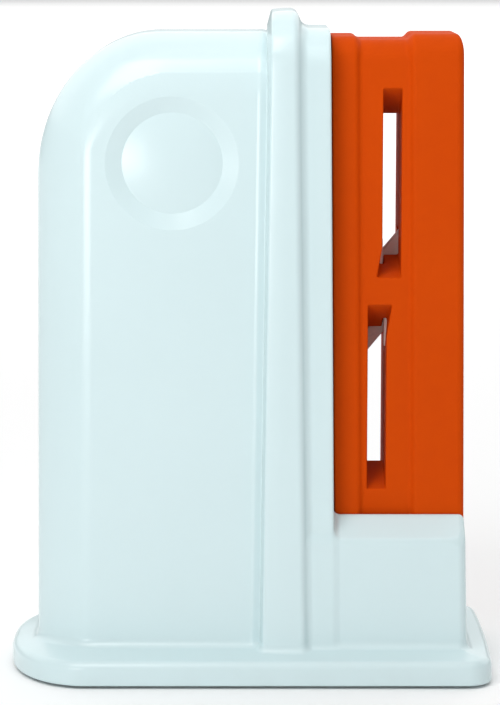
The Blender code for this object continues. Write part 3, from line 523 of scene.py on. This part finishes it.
CASING_LEANS = {-0.0454: LEAN, -0.0020: BAND_LEAN, 0.0040: BAND_LEAN, 0.0102: -BAND_LEAN, 0.0135: -BAND_LEAN,
                0.0179: -LEAN, 0.0459: -BLOCK_LEAN}
CASING_TURNS_X = (-0.0508, -0.0349, -0.0002, 0.0004, 0.0018, 0.0026, 0.0035, 0.0115, 0.0126, 0.0177, 0.0446,
                  0.0456, 0.0508)
CASING_TURNS_Y = (0.0133, 0.0174, 0.0179, 0.0186, 0.0190, 0.0205, 0.0254, 0.0258)
CASING_TURNS_Z = (0.0007, 0.0052, 0.0057, 0.0076, 0.0303, 0.0316, 0.0346, 0.1300, 0.1355, 0.1365, 0.1395)
across = ruled(-0.0525, 0.0525, CASING_TURNS_X, 0.25 * MM, 0.9 * MM, 0.10)
deep = both_sides(ruled(0, 0.0270, CASING_TURNS_Y, 0.28 * MM, 1.1 * MM, 0.14))
high = ruled(-0.0005, 0.1410, CASING_TURNS_Z, 0.30 * MM, 1.0 * MM, 0.10)
points, faces = skin(plain_field, across, deep, high, list(CASING_LEANS), list(CASING_LEANS.values()))
casing = mesh_object("casing", points, faces, white)
coarse_x = np.arange(-0.0525, 0.0530, 2.0 * MM)
coarse_y = both_sides(np.arange(0, 0.0280, 1.6 * MM))
coarse_z = np.arange(-0.0066, 0.1430, 1.8 * MM)
points, faces = skin(hollow_field, coarse_x, coarse_y, coarse_z, [0, 1], [0, 0])
hollow = mesh_object("casing_hollow", points, faces, white)
dome_steps = 9
radii = [RECESS_FLOOR * step / dome_steps for step in range(dome_steps + 1)]
beyond = 0.0010
beyond_z = -RECESS_DEPTH * beyond / (RECESS_RADIUS - RECESS_FLOOR)
bm = bmesh.new()
for side in (-1, 1):
    profile = [(radius, thumb_recess(radius)) for radius in radii]
    profile += [(RECESS_RADIUS + beyond, beyond_z), (0, beyond_z)]
    turned_mesh(bm, profile, 128)
    stood_up = Matrix.Rotation(side * pi / 2, 4, "X")
    place_at = Matrix.Translation((RECESS_X, side * HANDLE_FACE_Y, RECESS_Z))
    new = [v for v in bm.verts if not v.tag]
    bmesh.ops.transform(bm, matrix=place_at @ stood_up, verts=new)
    for vertex in new:
        vertex.tag = True
recess_tool = object_of("recess_tool", bm, white)
for tool in (hollow, recess_tool):
    cut = casing.modifiers.new(tool.name, "BOOLEAN")
    cut.operation = "DIFFERENCE"
    cut.solver = "MANIFOLD"
    cut.object = tool
bake_modifiers(casing)
bpy.data.objects.remove(hollow)
bpy.data.objects.remove(recess_tool)
shade_from_field(casing, casing_field)
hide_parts("housing")
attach(casing, "root")

# Guide insert: two mirrored halves of matt orange ABS that meet on the middle plane. Slots for the blades run
# through both, with mouths that funnel in, and pockets in the mating faces hold the stones.
INSERT_Y = -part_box("insert_front")[0].y
INSERT_TOP_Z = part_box("insert_front")[1].z
CLEARANCE = 0.0003
INSERT_FOOT_Z = SHELF_Z + CLEARANCE
INSERT_ARC = 0.0042
INSERT_END_ARC = 0.0043
INSERT_CORNER_ROUND = 0.0015
INSERT_LEFT_ROUND = 0.4 * MM
MATING_Y = 0.00015
MATING_ROUND = 0.12 * MM
STRIP_DROP = 0.00045
CHANNEL_LEFT_X = TOWER_RIGHT_X + 0.0049
CHANNEL_RIGHT_X = CHANNEL_LEFT_X + 0.0100
CHANNEL_DEPTH = 0.0010
CHANNEL_TOP_DROP = 0.0012
CHANNEL_FILLET = 0.30 * MM
INSERT_EDGE_ROUND = 0.35 * MM
SLOT_HALF_WIDTH = 0.00195
SLOT_FLARE = 0.0012
SLOT_FLARE_LENGTH = 0.0064
SLOT_END_STEEPNESS = 0.93
SLOT_MOUTH_ROUND = 0.25 * MM
INSERT_RIGHT_X = BLOCK_RIGHT_X - BLOCK_LEAN * SHELF_Z + LEAN * SHELF_Z
UPPER_SLOT = {
    "x": CHANNEL_LEFT_X + 0.00675,
    "mouth": (0.0843, 0.1246),
    "throat": (0.0883, 0.1180),
    "flare": -1}
LOWER_SLOT = {
    "x": CHANNEL_LEFT_X + 0.00385,
    "mouth": (0.0394, 0.0795),
    "throat": (0.0436, 0.0726),
    "flare": 1}
BEVEL_STONE = (0.0030, 0.0040, 0.0090, radians(40))
FLAT_STONE = (0.0024, 0.0040, 0.0068, 0)
STONES = {
    "upper_bevel": BEVEL_STONE,
    "upper_flat": FLAT_STONE,
    "lower_bevel": BEVEL_STONE,
    "lower_flat": FLAT_STONE}


def slot_room(x, d, z, slot):
    """Negative inside a slot. One wall steps aside near the stones, and the ends slope in to the throat."""
    share = np.clip(d / INSERT_Y, 0, 1.05)
    low = slot["mouth"][0] * share + slot["throat"][0] * (1 - share)
    high = slot["mouth"][1] * share + slot["throat"][1] * (1 - share)
    stone_end = z - low if slot["flare"] < 0 else high - z
    flare = SLOT_FLARE * share * np.clip(1 - stone_end / SLOT_FLARE_LENGTH, 0, 1)
    left = slot["x"] - SLOT_HALF_WIDTH - (flare if slot["flare"] < 0 else 0)
    right = slot["x"] + SLOT_HALF_WIDTH + (flare if slot["flare"] > 0 else 0)
    sides = np.maximum(left - x, x - right)
    ends = np.maximum(low - z, z - high) * SLOT_END_STEEPNESS
    return rounded_and(sides, ends, INSERT_EDGE_ROUND)


def middle_of(name):
    low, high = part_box(name)
    return (low + high) / 2


def stone_room(x, y, z, name):
    """Negative inside a stone's pocket, which opens on the mating plane."""
    middle = middle_of(name + "_stone")
    thick, deep, length, tilt = STONES[name]
    across = x - middle.x
    up = z - middle.z
    u = np.abs(across * cos(tilt) - up * sin(tilt)) - thick / 2
    v = np.abs(across * sin(tilt) + up * cos(tilt)) - length / 2
    return np.maximum(np.maximum(u, v), np.abs(y - middle.y) - deep / 2) - CLEARANCE


def insert_field(side):
    """The field of the front half (side -1) or the rear half (side 1)."""
    pockets = "flat" if side < 0 else "bevel"

    def field(x, y, z):
        d = side * y

        def arch(top, deep):
            return oval_edge(d - (deep - INSERT_ARC), z - (top - INSERT_ARC), INSERT_ARC, INSERT_ARC)

        upright_x = x - LEAN * (INSERT_TOP_Z - z)
        strip = arch(INSERT_TOP_Z - STRIP_DROP, INSERT_Y)
        strip_wall = (upright_x - CHANNEL_LEFT_X + CHANNEL_DEPTH + strip) / sqrt(2)
        strip = rounded_and(strip, strip_wall, INSERT_EDGE_ROUND)
        column = arch(INSERT_TOP_Z, INSERT_Y)
        column_wall = (CHANNEL_RIGHT_X + CHANNEL_DEPTH - upright_x + column) / sqrt(2)
        column = rounded_and(column, column_wall, INSERT_EDGE_ROUND)
        channel = arch(INSERT_TOP_Z - CHANNEL_TOP_DROP, INSERT_Y - CHANNEL_DEPTH)
        outer = filleted_or(np.minimum(strip, column), channel, CHANNEL_FILLET)
        right = INSERT_RIGHT_X - LEAN * z
        outer = rounded_and(outer, x - right, INSERT_CORNER_ROUND)
        end_x = x - right + INSERT_CORNER_ROUND
        end_z = z - INSERT_TOP_Z + INSERT_END_ARC
        outer = np.maximum(outer, oval_edge(end_x, end_z, INSERT_CORNER_ROUND, INSERT_END_ARC))
        outer = rounded_and(outer, TOWER_RIGHT_X + CLEARANCE - LEAN * z - x, INSERT_LEFT_ROUND)
        outer = rounded_and(outer, INSERT_FOOT_Z - z, INSERT_EDGE_ROUND)
        outer = rounded_and(outer, MATING_Y - d, MATING_ROUND)
        for slot in (UPPER_SLOT, LOWER_SLOT):
            outer = rounded_and(outer, -slot_room(x, d, z, slot), SLOT_MOUTH_ROUND)
        for slot in ("upper_", "lower_"):
            outer = np.maximum(outer, -stone_room(x, y, z, slot + pockets))
        return outer

    return field


orange, place = new_look("orange_matt_plastic", {"Specular IOR Level": 0.06})
deep_orange = (0.55, 0.053, 0.0002, 1)
bright_orange = (0.62, 0.067, 0.0003, 1)
cloud = noise(place, 0.020)
flow = noise(place, 0.0030, 3.0)
grain = noise(place, 0.00030)
place.feed(principled(orange), {
    "Base Color": tint(0.6 * cloud + 0.4 * flow, deep_orange, bright_orange),
    "Roughness": 0.62 + 0.12 * flow,
    "Normal": bump(grain + 0.6 * flow, 0.000020)})

INSERT_LEANS = {0.0179: -LEAN, 0.0218: 0, 0.0338: 0, 0.0455: -LEAN}
INSERT_TURNS_X = (0.0181, 0.0219, 0.0227, 0.0235, 0.0246, 0.0276, 0.0285, 0.0315, 0.0324, 0.0338, 0.0346,
                  0.0448, 0.0455)
INSERT_TURNS_Y = (0.0001, 0.0003, 0.0045, 0.0119, 0.0130)
INSERT_TURNS_Z = (0.0319, 0.0395, 0.0433, 0.0723, 0.0794, 0.0843, 0.0885, 0.1180, 0.1245, 0.1306, 0.1346,
                  0.1352)
across = ruled(0.0165, 0.0462, INSERT_TURNS_X, 0.22 * MM, 1.1 * MM, 0.25)
deep = ruled(-0.0002, 0.0136, INSERT_TURNS_Y, 0.22 * MM, 0.9 * MM, 0.25)
high = ruled(0.0312, 0.1356, INSERT_TURNS_Z, 0.28 * MM, 0.9 * MM, 0.16)
for side, name in ((-1, "insert_front"), (1, "insert_rear")):
    field = insert_field(side)
    half_deep = deep if side > 0 else -deep[::-1]
    points, faces = skin(field, across, half_deep, high, list(INSERT_LEANS), list(INSERT_LEANS.values()))
    half = mesh_object(name + "_shell", points, faces, orange)
    shade_from_field(half, field)
    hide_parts(name)
    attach(half, "root")

# Stones: four sticks of fired alumina, cut square and lapped, with a fine grain. They lie in the pockets of
# the insert, held by the other half, and grey metal from the blades has marked the faces in faint smears.
ceramic, place = new_look("lapped_ceramic", {"Specular IOR Level": 0.35})
speck = place.node("ShaderNodeTexVoronoi", {}, {"Vector": place, "Scale": 1 / 0.00022})
dull_pink = (0.84, 0.66, 0.60, 1)
pale_pink = (0.93, 0.80, 0.75, 1)
blade_grey = (0.20, 0.18, 0.18, 1)
cloud = noise(place, 0.0016, 3.0)
smear = fade(noise(place, 0.0011, 4.0), 0.56, 0.74)
pink = tint(cloud, dull_pink, pale_pink)
place.feed(principled(ceramic), {
    "Base Color": tint(0.16 * smear, pink, blade_grey),
    "Roughness": 0.72 - 0.18 * smear,
    "Normal": bump(speck + 0.5 * cloud, 0.000025)})
STONE_EDGE_ROUND = 0.00020
for name, (thick, deep_size, length, tilt) in STONES.items():
    bm = bmesh.new()
    bmesh.ops.create_cube(bm, size=1, matrix=Matrix.Diagonal((thick, deep_size, length, 1)))
    bmesh.ops.bevel(bm, geom=list(bm.edges), offset=STONE_EDGE_ROUND, segments=3, profile=0.5, affect="EDGES")
    bm.transform(Matrix.Translation(middle_of(name + "_stone")) @ Matrix.Rotation(tilt, 4, "Y"))
    stick = object_of(name + "_stick", bm, ceramic, radians(40))
    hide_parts(name + "_stone")
    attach(stick, "root")

# Bottom plate: a grey ABS plate that closes the casing from below. It has a sunk seat for each foot and
# each screw head, and its edges are broken so that it drops into the rim.
PLATE_LOW, PLATE_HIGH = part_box("bottom_plate")
CORNERS = ("front_left", "front_right", "rear_left", "rear_right")
FEET = ["foot_" + corner for corner in CORNERS]
PLATE_SCREWS = ["plate_screw_" + corner for corner in CORNERS]


def plate_outline(inset, z):
    """Quarter ellipses at the left corners, small arcs at the right ones."""
    half_y = BASE_DEPTH / 2 - inset
    run = BASE_LEFT_ROUND - inset
    small = BASE_RIGHT_ROUND - inset
    left_corner = (24, run, half_y - BASE_LEFT_STRAIGHT, BASE_LOW.x + inset + run, pi)
    right_corner = (10, small, small, BASE_HIGH.x - inset - small, 3 * pi / 2)
    points = []
    for steps, run, rise, centre_x, start in (left_corner, right_corner):
        for step in range(steps + 1):
            angle = start + pi / 2 * step / steps
            points.append((centre_x + run * cos(angle), -(half_y - rise) + rise * sin(angle), z))
    return points + [(x, -y, z) for x, y, z in reversed(points)]


grey, place = new_look("grey_grained_plastic", {"Specular IOR Level": 0.45})
pebble = place.node("ShaderNodeTexVoronoi", {}, {"Vector": place, "Scale": 1 / 0.0007})
dark_grey = (0.200, 0.208, 0.214, 1)
light_grey = (0.245, 0.252, 0.258, 1)
cloud = noise(place, 0.015)
scuff = fade(noise(place, 0.006, 5.0), 0.58, 0.72)
place.feed(principled(grey), {
    "Base Color": tint(cloud, dark_grey, light_grey),
    "Roughness": 0.55 - 0.14 * scuff,
    "Normal": bump(pebble * (1 - 0.6 * scuff), 0.00004)})

inset = (BASE_WIDTH - (PLATE_HIGH.x - PLATE_LOW.x)) / 2
edge = 0.00025
levels = ((edge, PLATE_LOW.z), (0, PLATE_LOW.z + edge), (0, PLATE_HIGH.z - edge), (edge, PLATE_HIGH.z))
bm = bmesh.new()
rows = [[bm.verts.new(corner) for corner in plate_outline(inset + less, z)] for less, z in levels]
for near, far in zip(rows, rows[1:]):
    for i, corner in enumerate(near):
        j = (i + 1) % len(near)
        bm.faces.new((corner, near[j], far[j], far[i]))
bm.faces.new(rows[0])
bm.faces.new(rows[-1])
bmesh.ops.recalc_face_normals(bm, faces=bm.faces)
plate = object_of("plate", bm, grey)
FOOT_SEAT_RADIUS = 0.0048
HEAD_SEAT_RADIUS = 0.0032
SHANK_BORE_RADIUS = 0.0014
overrun = 0.001
bm = bmesh.new()


def seat_mouth(radius):
    """The start of a seat's profile: a broken edge that opens downwards."""
    below = PLATE_LOW.z - overrun
    return [(0, below), (radius + edge + overrun, below), (radius, PLATE_LOW.z + edge)]


for name in FEET:
    spot = middle_of(name)
    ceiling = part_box(name)[1].z + CLEARANCE
    profile = seat_mouth(FOOT_SEAT_RADIUS) + [(FOOT_SEAT_RADIUS, ceiling), (0, ceiling)]
    turned_mesh(bm, profile, 64, spot.x, spot.y)
for name in PLATE_SCREWS:
    spot = middle_of(name)
    ceiling = PLATE_LOW.z + 0.0015
    top = PLATE_HIGH.z + overrun
    profile = seat_mouth(HEAD_SEAT_RADIUS) + [
        (HEAD_SEAT_RADIUS, ceiling), (SHANK_BORE_RADIUS, ceiling), (SHANK_BORE_RADIUS, top), (0, top)]
    turned_mesh(bm, profile, 48, spot.x, spot.y)
seats = object_of("plate_seats", bm, grey)
cut = plate.modifiers.new("seats", "BOOLEAN")
cut.operation = "DIFFERENCE"
cut.solver = "EXACT"
cut.object = seats
bake_modifiers(plate)
bpy.data.objects.remove(seats)
plate.data.set_sharp_from_angle(angle=CREASE)
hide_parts("bottom_plate")
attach(plate, "root")

# Feet: four turned discs of black rubber, glued into the plate's seats. The lower edge is round and the
# underside is slightly dished, so that each foot grips on a ring.


def add_input(tree, name, kind, default=None):
    socket = tree.interface.new_socket(name, in_out="INPUT", socket_type=kind)
    if default is not None:
        socket.default_value = default
    return socket.identifier


set_out = bpy.data.node_groups.new("set_out", "GeometryNodeTree")
add_input(set_out, "Places", "NodeSocketGeometry")
SET_OUT_INPUTS = {
    "piece": add_input(set_out, "Piece", "NodeSocketObject"),
    "finish": add_input(set_out, "Finish", "NodeSocketMaterial"),
    "most_turn": add_input(set_out, "Most turn", "NodeSocketFloat", 0.0),
    "seed": add_input(set_out, "Seed", "NodeSocketInt", 0)}
set_out.interface.new_socket("Pieces", in_out="OUTPUT", socket_type="NodeSocketGeometry")
given = set_out.nodes.new("NodeGroupInput")
source = set_out.nodes.new("GeometryNodeObjectInfo")
chance = set_out.nodes.new("FunctionNodeRandomValue")
axis = set_out.nodes.new("ShaderNodeCombineXYZ")
turn = set_out.nodes.new("FunctionNodeEulerToRotation")
copies = set_out.nodes.new("GeometryNodeInstanceOnPoints")
solid = set_out.nodes.new("GeometryNodeRealizeInstances")
finish = set_out.nodes.new("GeometryNodeSetMaterial")
result = set_out.nodes.new("NodeGroupOutput")
for start_socket, end_socket in (
        (given.outputs["Piece"], source.inputs["Object"]),
        (given.outputs["Most turn"], chance.inputs[3]),
        (given.outputs["Seed"], chance.inputs["Seed"]),
        (chance.outputs[1], axis.inputs["Z"]),
        (axis.outputs[0], turn.inputs[0]),
        (given.outputs["Places"], copies.inputs["Points"]),
        (source.outputs["Geometry"], copies.inputs["Instance"]),
        (turn.outputs[0], copies.inputs["Rotation"]),
        (copies.outputs[0], solid.inputs[0]),
        (solid.outputs[0], finish.inputs["Geometry"]),
        (given.outputs["Finish"], finish.inputs["Material"]),
        (finish.outputs[0], result.inputs[0])):
    set_out.links.new(start_socket, end_socket)


def copies_at(name, places, piece, material, **turning):
    """One mesh with a copy of the piece at each place, made by the set_out tree."""
    mesh = bpy.data.meshes.new(name)
    mesh.from_pydata(places, [], [])
    item = bpy.data.objects.new(name, mesh)
    bpy.context.scene.collection.objects.link(item)
    layout = item.modifiers.new("set_out", "NODES")
    layout.node_group = set_out
    for key, value in {"piece": piece, "finish": material, **turning}.items():
        layout[SET_OUT_INPUTS[key]] = value
    bake_modifiers(item)
    bpy.data.objects.remove(piece)
    return item


rubber, place = new_look("black_rubber", {"Specular IOR Level": 0.3})
soot_black = (0.018, 0.018, 0.018, 1)
worn_black = (0.040, 0.039, 0.038, 1)
grain = noise(place, 0.0003)
bloom = noise(place, 0.003, 3.0)
place.feed(principled(rubber), {
    "Base Color": tint(bloom, soot_black, worn_black),
    "Roughness": 0.70 + 0.15 * bloom,
    "Normal": bump(grain, 0.00003)})
foot_low, foot_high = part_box("foot_front_left")
foot_radius = (foot_high.x - foot_low.x) / 2
foot_height = foot_high.z - foot_low.z
foot_round = 0.00045
round_steps = 6
profile = [(0, 0.00025), (foot_radius * 0.62, 0.00018), (foot_radius * 0.74, 0)]
for step in range(round_steps + 1):
    angle = pi / 2 * step / round_steps
    profile.append((foot_radius - foot_round * (1 - sin(angle)), foot_round * (1 - cos(angle))))
profile += [(foot_radius, foot_height), (0, foot_height)]
bm = bmesh.new()
turned_mesh(bm, profile, 56)
one_foot = object_of("one_foot", bm, rubber)
places = [(*middle_of(name).xy, 0) for name in FEET]
feet = copies_at("feet", places, one_foot, rubber)
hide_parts(*FEET)
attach(feet, "root")

# Screws: eight thread-forming steel screws with pan heads and a cross recess, driven from below. Four hold
# the plate to the bosses in the casing, and four hold the insert down on its shelf.
steel, place = new_look("zinc_plated_steel", {"Metallic": 1.0})
dull_zinc = (0.50, 0.51, 0.52, 1)
bright_zinc = (0.62, 0.62, 0.61, 1)
brushed = noise(place, 0.0004, 4.0)
cloud = noise(place, 0.002)
place.feed(principled(steel), {
    "Base Color": tint(cloud, dull_zinc, bright_zinc),
    "Roughness": 0.26 + 0.16 * brushed,
    "Normal": bump(brushed, 0.000006)})
INSERT_SCREWS = ["insert_screw_" + corner for corner in CORNERS]
HEAD_RADIUS = 0.0027
HEAD_HEIGHT = 0.0012
HEAD_ROUND = 0.00022
HEAD_EDGE_Z = 0.00030
SHANK_RADIUS = 0.0011
CORE_RADIUS = 0.00080
PITCH = 0.00095
RIDGE_STEEPNESS = 3.2
TIP_LENGTH = 0.0015
TIP_RADIUS = 0.0001
CROSS_ARM = 0.00155
CROSS_HALF_WIDTH = 0.00036
CROSS_DEPTH = 0.00095
CROSS_OVERRUN = 0.0005


def one_screw(length):
    """A screw with its head down, its seat at the head's height and its thread up to the point."""
    top = HEAD_HEIGHT + length

    def thread(radius, z, angle):
        if not HEAD_HEIGHT + PITCH / 4 < z < top:
            return radius
        turns = z / PITCH - angle / (2 * pi)
        ridge = max(0, 1 - RIDGE_STEEPNESS * abs(turns - floor(turns) - 0.5))
        return radius + (SHANK_RADIUS - CORE_RADIUS) * ridge * min(1, (top - z) / TIP_LENGTH)

    profile = [(0, 0), (HEAD_RADIUS * 0.60, 0.00004), (HEAD_RADIUS * 0.84, 0.00016)]
    for step in range(5):
        angle = pi / 2 * step / 4
        edge_radius = HEAD_RADIUS - HEAD_ROUND * (1 - sin(angle))
        profile.append((edge_radius, HEAD_EDGE_Z + HEAD_ROUND * (1 - cos(angle))))
    profile += [(HEAD_RADIUS, HEAD_HEIGHT), (CORE_RADIUS, HEAD_HEIGHT)]
    z = HEAD_HEIGHT + PITCH / 6
    while z < top - TIP_LENGTH:
        profile.append((CORE_RADIUS, z))
        z += PITCH / 6
    for step in range(8):
        share = step / 8
        profile.append((CORE_RADIUS * (1 - share) + TIP_RADIUS * share, top - TIP_LENGTH * (1 - share)))
    profile.append((0, top))
    bm = bmesh.new()
    turned_mesh(bm, profile, 24, sweep=thread)
    screw = object_of("one_screw", bm, steel)
    bm = bmesh.new()
    arm, half = CROSS_ARM, CROSS_HALF_WIDTH
    outline = []
    for quarter in range(4):
        turn_by = Matrix.Rotation(pi / 2 * quarter, 3, "Z")
        outline += [turn_by @ Vector(corner) for corner in ((arm, half, 0), (half, half, 0), (half, arm, 0))]
    mouth_scale, end_scale = 1.04, 0.62
    low_ring = [bm.verts.new(corner * mouth_scale - Vector((0, 0, CROSS_OVERRUN))) for corner in outline]
    high_ring = [bm.verts.new(corner * end_scale + Vector((0, 0, CROSS_DEPTH))) for corner in outline]
    for i, corner in enumerate(low_ring):
        j = (i + 1) % len(low_ring)
        bm.faces.new((corner, low_ring[j], high_ring[j], high_ring[i]))
    bm.faces.new(low_ring)
    bm.faces.new(high_ring)
    bmesh.ops.recalc_face_normals(bm, faces=bm.faces)
    recess = object_of("recess", bm, steel)
    cross = screw.modifiers.new("recess", "BOOLEAN")
    cross.operation = "DIFFERENCE"
    cross.solver = "EXACT"
    cross.object = recess
    bake_modifiers(screw)
    bpy.data.objects.remove(recess)
    screw.data.set_sharp_from_angle(angle=CREASE)
    return screw


for group, names in (("plate_screws", PLATE_SCREWS), ("insert_screws", INSERT_SCREWS)):
    low, high_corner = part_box(names[0])
    screw = one_screw(high_corner.z - low.z - HEAD_HEIGHT)
    places = [(*middle_of(name).xy, low.z) for name in names]
    screws = copies_at(group, places, screw, steel, most_turn=pi, seed=7)
    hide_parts(*names)
    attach(screws, "root")

# Studio: a plain pale floor that runs back behind the object. Soft light comes from the left, the front and
# above, a low key light draws the bright edge lines, and one light whitens the floor behind. The camera
# stands a little above the object, where the photograph was taken from, and looks slightly down.
bpy.ops.mesh.primitive_plane_add(size=40)
pale_floor = bpy.context.object
pale_floor.name = "floor"
pale = bpy.data.materials.new("pale_floor")
pale.use_nodes = True
principled(pale).inputs["Base Color"].default_value = (0.95, 0.95, 0.95, 1)
principled(pale).inputs["Roughness"].default_value = 0.9
pale_floor.data.materials.append(pale)
scene = bpy.context.scene
world = bpy.data.worlds.new("studio")
world.use_nodes = True
world.node_tree.nodes["Background"].inputs["Color"].default_value = (1, 1, 1, 1)
world.node_tree.nodes["Background"].inputs["Strength"].default_value = 0.34
scene.world = world
scene.view_settings.view_transform = "Standard"


def softbox(name, place, aim, width, height, power):
    """A rectangular lamp that faces its aim."""
    lamp = bpy.data.lights.new(name, "AREA")
    lamp.shape = "RECTANGLE"
    lamp.size = width
    lamp.size_y = height
    lamp.energy = power
    item = bpy.data.objects.new(name, lamp)
    item.location = place
    item.rotation_euler = (Vector(aim) - Vector(place)).to_track_quat("-Z", "Y").to_euler()
    scene.collection.objects.link(item)


softbox("left_light", (-0.12, -0.22, 0.34), (-0.02, 0, 0.09), 0.20, 0.20, 0.54)
softbox("front_light", (0.06, -0.36, 0.48), (0.02, 0, 0.09), 0.50, 0.30, 0.40)
softbox("top_light", (0.10, -0.06, 0.50), (0.02, 0, 0.10), 0.40, 0.40, 0.43)
softbox("key_light", (-0.30, -0.68, 0.075), (0, 0, 0.075), 0.26, 0.14, 0.95)
softbox("floor_light", (0.0, 3.1, 0.9), (0, 3.1, 0), 6.0, 5.6, 115.0)

lens = bpy.data.cameras.new("camera")
lens.lens = 140.0
lens.sensor_width = 36.0
camera = bpy.data.objects.new("camera", lens)
camera.location = (0, -0.580, 0.1554)
camera.rotation_euler = (radians(90 - 8.66), 0, 0)
scene.collection.objects.link(camera)
scene.camera = camera
